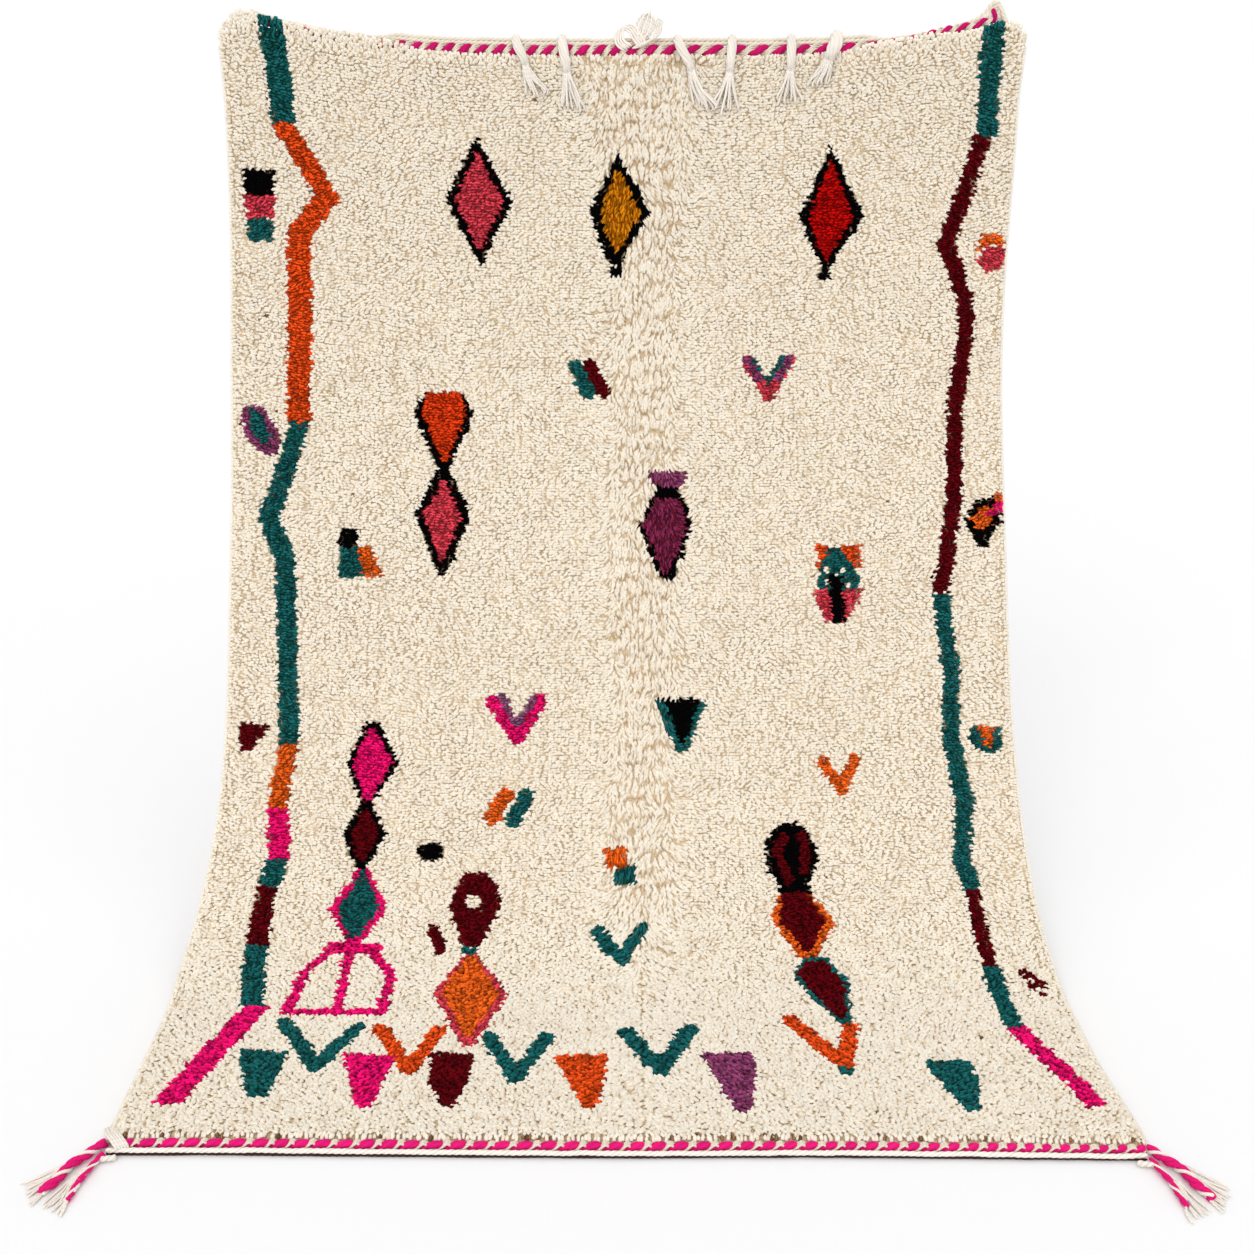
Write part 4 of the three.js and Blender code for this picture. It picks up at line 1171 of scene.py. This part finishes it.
def make_hanging_tassel(number, across, length, lean, thick, reach):
    """A bound neck over the cord, and strands in two layers that fan out evenly from its end."""
    tubes = Tubes()
    edge = float(head_along(across))
    share, down, height = HANGING_NECK.T
    down = np.where(down > NECK_TOP, NECK_TOP + (down - NECK_TOP) * reach, down)
    neck = place(across + share * lean, edge + down, height)
    add_neck(tubes, spline(neck, 26), np.array([1.0, 0, 0]), NECK_RADIUS * thick)
    root_share, root_along, root_height = share[-1], down[-1], height[-1]
    for k in range(HEAD_STRANDS):
        fan = 2 * (k + 0.5) / HEAD_STRANDS - 1
        layer = 1 if k % 2 else -1
        tip_along = length * RANDOM.uniform(0.8, 1.0)
        tip = lean + HEAD_FAN * fan + RANDOM.uniform(-5, 5)
        root = root_share * lean + 5.2 * thick * fan
        middle = root + (tip - root) * RANDOM.uniform(0.3, 0.6)
        aside = np.array([root * 0.9, root + 0.8 * fan, middle, tip, tip + RANDOM.uniform(-4, 4)])
        half_way = (root_along + tip_along) / 2
        below = np.array([root_along - 8, root_along + 4, half_way, tip_along - 8, tip_along])
        above = root_height + layer * np.array([1.4, 2, 2, 1.6, 1]) - np.array([0, 0, 1.5, 4, 5])
        points = place(across + aside, edge + below, above)
        add_strand(tubes, points, FORWARD, RANDOM.uniform(*STRAND_RADIUS))
    return tubes.piece(f"head_tassel_{number}_yarns", COTTON, "cotton_cord", f"head_tassel_{number}")


# The tassel that stands up. Its routes: across, above the edge of the ground, and height.
STANDING_AT = 12.0
STANDING_ARCH = [
    (2, 13, 20), (-13, 24, 16), (-14, 41, 13), (-4, 51, 12), (9, 47, 14), (18, 33, 17), (28, 18, 22),
]
STANDING_LEAF_ROOT = (22, 24)
STANDING_LEAF_TIP = (42, 78)
STANDING_KNOT = [(14, 16, 20), (34, 22, 25), (52, 34, 22), (57, 50, 15), (52, 60, 13)]
STANDING_TAIL = [(50, 58, 14), (56, 65, 13), (64, 60, 12), (66, 57, 12)]
# How a yarn of the leaf bulges: share of the way to its tip, then share of its bulge.
LEAF_BULGES = [(0, 0.2), (0.3, 0.9), (0.6, 1.0), (0.85, 0.6)]
LEAF_HALF_WIDTH = 15.0


def make_standing_tassel():
    """Four yarns that arch over and four that knot them, side by side, then a leaf of seven, each a curve
    from the root to the tip that bulges in its middle, and a loose tail."""
    tubes = Tubes()
    edge = float(head_along(STANDING_AT))

    def at(rows, shift=0.0, lift=0.0):
        rows = np.array(rows, float)
        return place(STANDING_AT + rows[:, 0] + shift, edge - rows[:, 1] - 0.6 * shift, rows[:, 2] + lift)

    for k in range(4):
        spread = 4.2 * (k - 1.5)
        add_strand(tubes, at(STANDING_ARCH, spread, 2 * (k % 2)), FORWARD, 2.6, tip=0.95)
        add_strand(tubes, at(STANDING_KNOT, spread * 0.8, 2 * (k % 2)), FORWARD, 2.5, tip=0.9)
    root, tip = np.array(STANDING_LEAF_ROOT, float), np.array(STANDING_LEAF_TIP, float)
    across_leaf = np.array([tip[1] - root[1], root[0] - tip[0]]) / np.hypot(*(tip - root))
    for k in range(7):
        bulge = LEAF_HALF_WIDTH * (2 * k / 6 - 1)
        rows = []
        for share, out in [*LEAF_BULGES, (1.0 - 0.05 * abs(k - 3), 0.25)]:
            spot = root + (tip - root) * share + across_leaf * bulge * out
            rows.append((*spot, 15 + 3 * (k % 2)))
        add_strand(tubes, at(rows), FORWARD, 2.4, tip=0.7)
    add_strand(tubes, at(STANDING_TAIL), FORWARD, 1.6, tip=0.6)
    return tubes.piece("head_tassel_3_yarns", COTTON, "cotton_cord", "head_tassel_3")


# The corner tassels: out, forward and up from the foot corner of the ground. The yarns of a cord wind round
# its route, and cream strands leave it on its outer side, from the first root and tip to the last.
CORNER_CORDS = {
    "outer": {
        "route": [(2, 4, 9), (14, 23, 9.5), (34, 52, 9), (44, 84, 8), (57, 107, 6.5)],
        "pink": 4.0,
        "strands": 15,
        "roots": ((10, 18), (40, 70)),
        "tips": ((96, 86), (62, 134)),
    },
    "inner": {
        "route": [(-2, 27, 8), (3, 44, 7.5), (9, 66, 7), (13, 92, 6), (16, 122, 5)],
        "pink": 2.5,
        "strands": 10,
        "roots": ((5, 46), (13, 96)),
        "tips": ((50, 132), (12, 154)),
    },
}
CORNER_TURN = 48.0
CORNER_STARTS = {"left": 14.0, "right": -6.0}  # how far along its route a cord's winding is shifted
CORNER_KNOT = [(-22, 33, 5.5), (-12, 36, 6.5), (0, 38, 6.5)]
CORNER_STRAND_RADIUS = (1.7, 2.3)
# The yarns of a cord: yarn, phase, then its radius and its distance from the route as shares of the pink
# yarn's radius.
WOUND_YARNS = [
    ("twined_pink", 0.0, 1.0, 0.85),
    ("twined_pink", 2.2, 1.0, 0.85),
    ("cotton", 4.25, 0.62, 1.15),
]
UP = np.array([0, 0, 1.0])


def make_corner_tassel(side, side_name, name):
    """Two pink yarns and a thin cream one, each on a helix round the route, and cream strands that bow down
    to the floor beside them."""
    row = CORNER_CORDS[name]
    across = side * HALF_GROUND
    corner = place(across, float(foot_along(across)), 0)

    def at(rows):
        out, forward, up = np.array(rows, float).T
        return np.stack([corner[0] + side * out * MM, corner[1] - forward * MM, up * MM], axis=-1)

    tubes = Tubes()
    line = spline(at(row["route"]), 90)
    facing = np.broadcast_to(UP, line.shape)
    sides, ups = frames_along(line, facing)
    turn = side * 2 * np.pi * (run_along(line) / MM - CORNER_STARTS[side_name]) / CORNER_TURN
    pink = row["pink"] * MM
    for yarn, phase, radius, sway in WOUND_YARNS:
        around = ups * np.sin(turn + phase)[:, None] + sides * np.cos(turn + phase)[:, None]
        swung = line + around * (pink * sway)
        tubes.add(swung, facing, pink * radius, colour_of(yarn), sides=10, lobes=4, depth=0.12, twist=30 * MM)
    first_root, last_root = np.array(row["roots"], float)
    first_tip, last_tip = np.array(row["tips"], float)
    for k in range(row["strands"]):
        share = k / (row["strands"] - 1)
        root = first_root + (last_root - first_root) * share + RANDOM.uniform(-2, 2, 2)
        tip = first_tip + (last_tip - first_tip) * np.clip(share + RANDOM.uniform(-0.07, 0.07), 0, 1)
        tip = root + (tip - root) * RANDOM.uniform(0.88, 1.0)
        bow = np.array([1, -0.5]) * RANDOM.uniform(-2, 7)
        rows = [
            (*root, 7.5),
            (*(root * 0.7 + tip * 0.3 + bow), 5.0),
            (*(root * 0.35 + tip * 0.65 + bow * RANDOM.uniform(-0.6, 0.8)), 3.2),
            (*tip, 2.6),
        ]
        add_strand(tubes, at(rows), UP, RANDOM.uniform(*CORNER_STRAND_RADIUS))
    if name == "inner":
        add_strand(tubes, at(CORNER_KNOT), UP, 4.4)
    node = f"corner_tassel_{side_name}_{name}"
    return tubes.piece(node + "_yarns", TWINED_WOOL, "cotton_cord", node)


def make_studio():
    """The camera, the light and the floor."""
    scene = bpy.context.scene
    scene.view_settings.view_transform = "Standard"
    camera = bpy.data.objects.new("camera", bpy.data.cameras.new("camera"))
    camera.data.lens = CAMERA_LENS
    camera.data.sensor_width = CAMERA_SENSOR
    camera.data.clip_end = CAMERA_REACH
    camera.location = np.array(CAMERA_PLACE) * MM
    camera.rotation_euler = (np.radians(CAMERA_TILT), 0, 0)
    scene.collection.objects.link(camera)
    scene.camera = camera

    world = bpy.data.worlds.new("studio")
    world.use_nodes = True
    light = world.node_tree.nodes["Background"].inputs
    light["Color"].default_value = (1, 1, 1, 1)
    light["Strength"].default_value = 1.0
    scene.world = world

    key = bpy.data.objects.new("key", bpy.data.lights.new("key", "SUN"))
    key.data.energy = SUN_STRENGTH
    key.data.angle = np.radians(SUN_BREADTH)
    key.rotation_euler = np.radians(SUN_TURN)
    scene.collection.objects.link(key)

    # Seamless paper, uncoated: matt white.
    paper = bpy.data.materials.new("studio_paper")
    paper.use_nodes = True
    surface = paper.node_tree.nodes["Principled BSDF"]
    surface.inputs["Base Color"].default_value = (*linear(PAPER), 1)
    surface.inputs["Roughness"].default_value = 0.9
    surface.inputs["Specular IOR Level"].default_value = 0.1
    mesh = bpy.data.meshes.new("floor")
    corners = [(PAPER_HALF * x, PAPER_HALF * y, 0) for x, y in ((-1, -1), (1, -1), (1, 1), (-1, 1))]
    mesh.from_pydata(corners, [], [(0, 1, 2, 3)])
    mesh.materials.append(paper)
    floor = bpy.data.objects.new("floor", mesh)
    scene.collection.objects.link(floor)


make_studio()
ground = make_ground()
pile = make_pile()
selvedges = [make_selvedge(-1, "selvedge_left"), make_selvedge(1, "selvedge_right")]
make_ends()
for row in HANGING_TASSELS:
    make_hanging_tassel(*row)
make_standing_tassel()
for side, side_name in ((-1, "left"), (1, "right")):
    for name in CORNER_CORDS:
        make_corner_tassel(side, side_name, name)
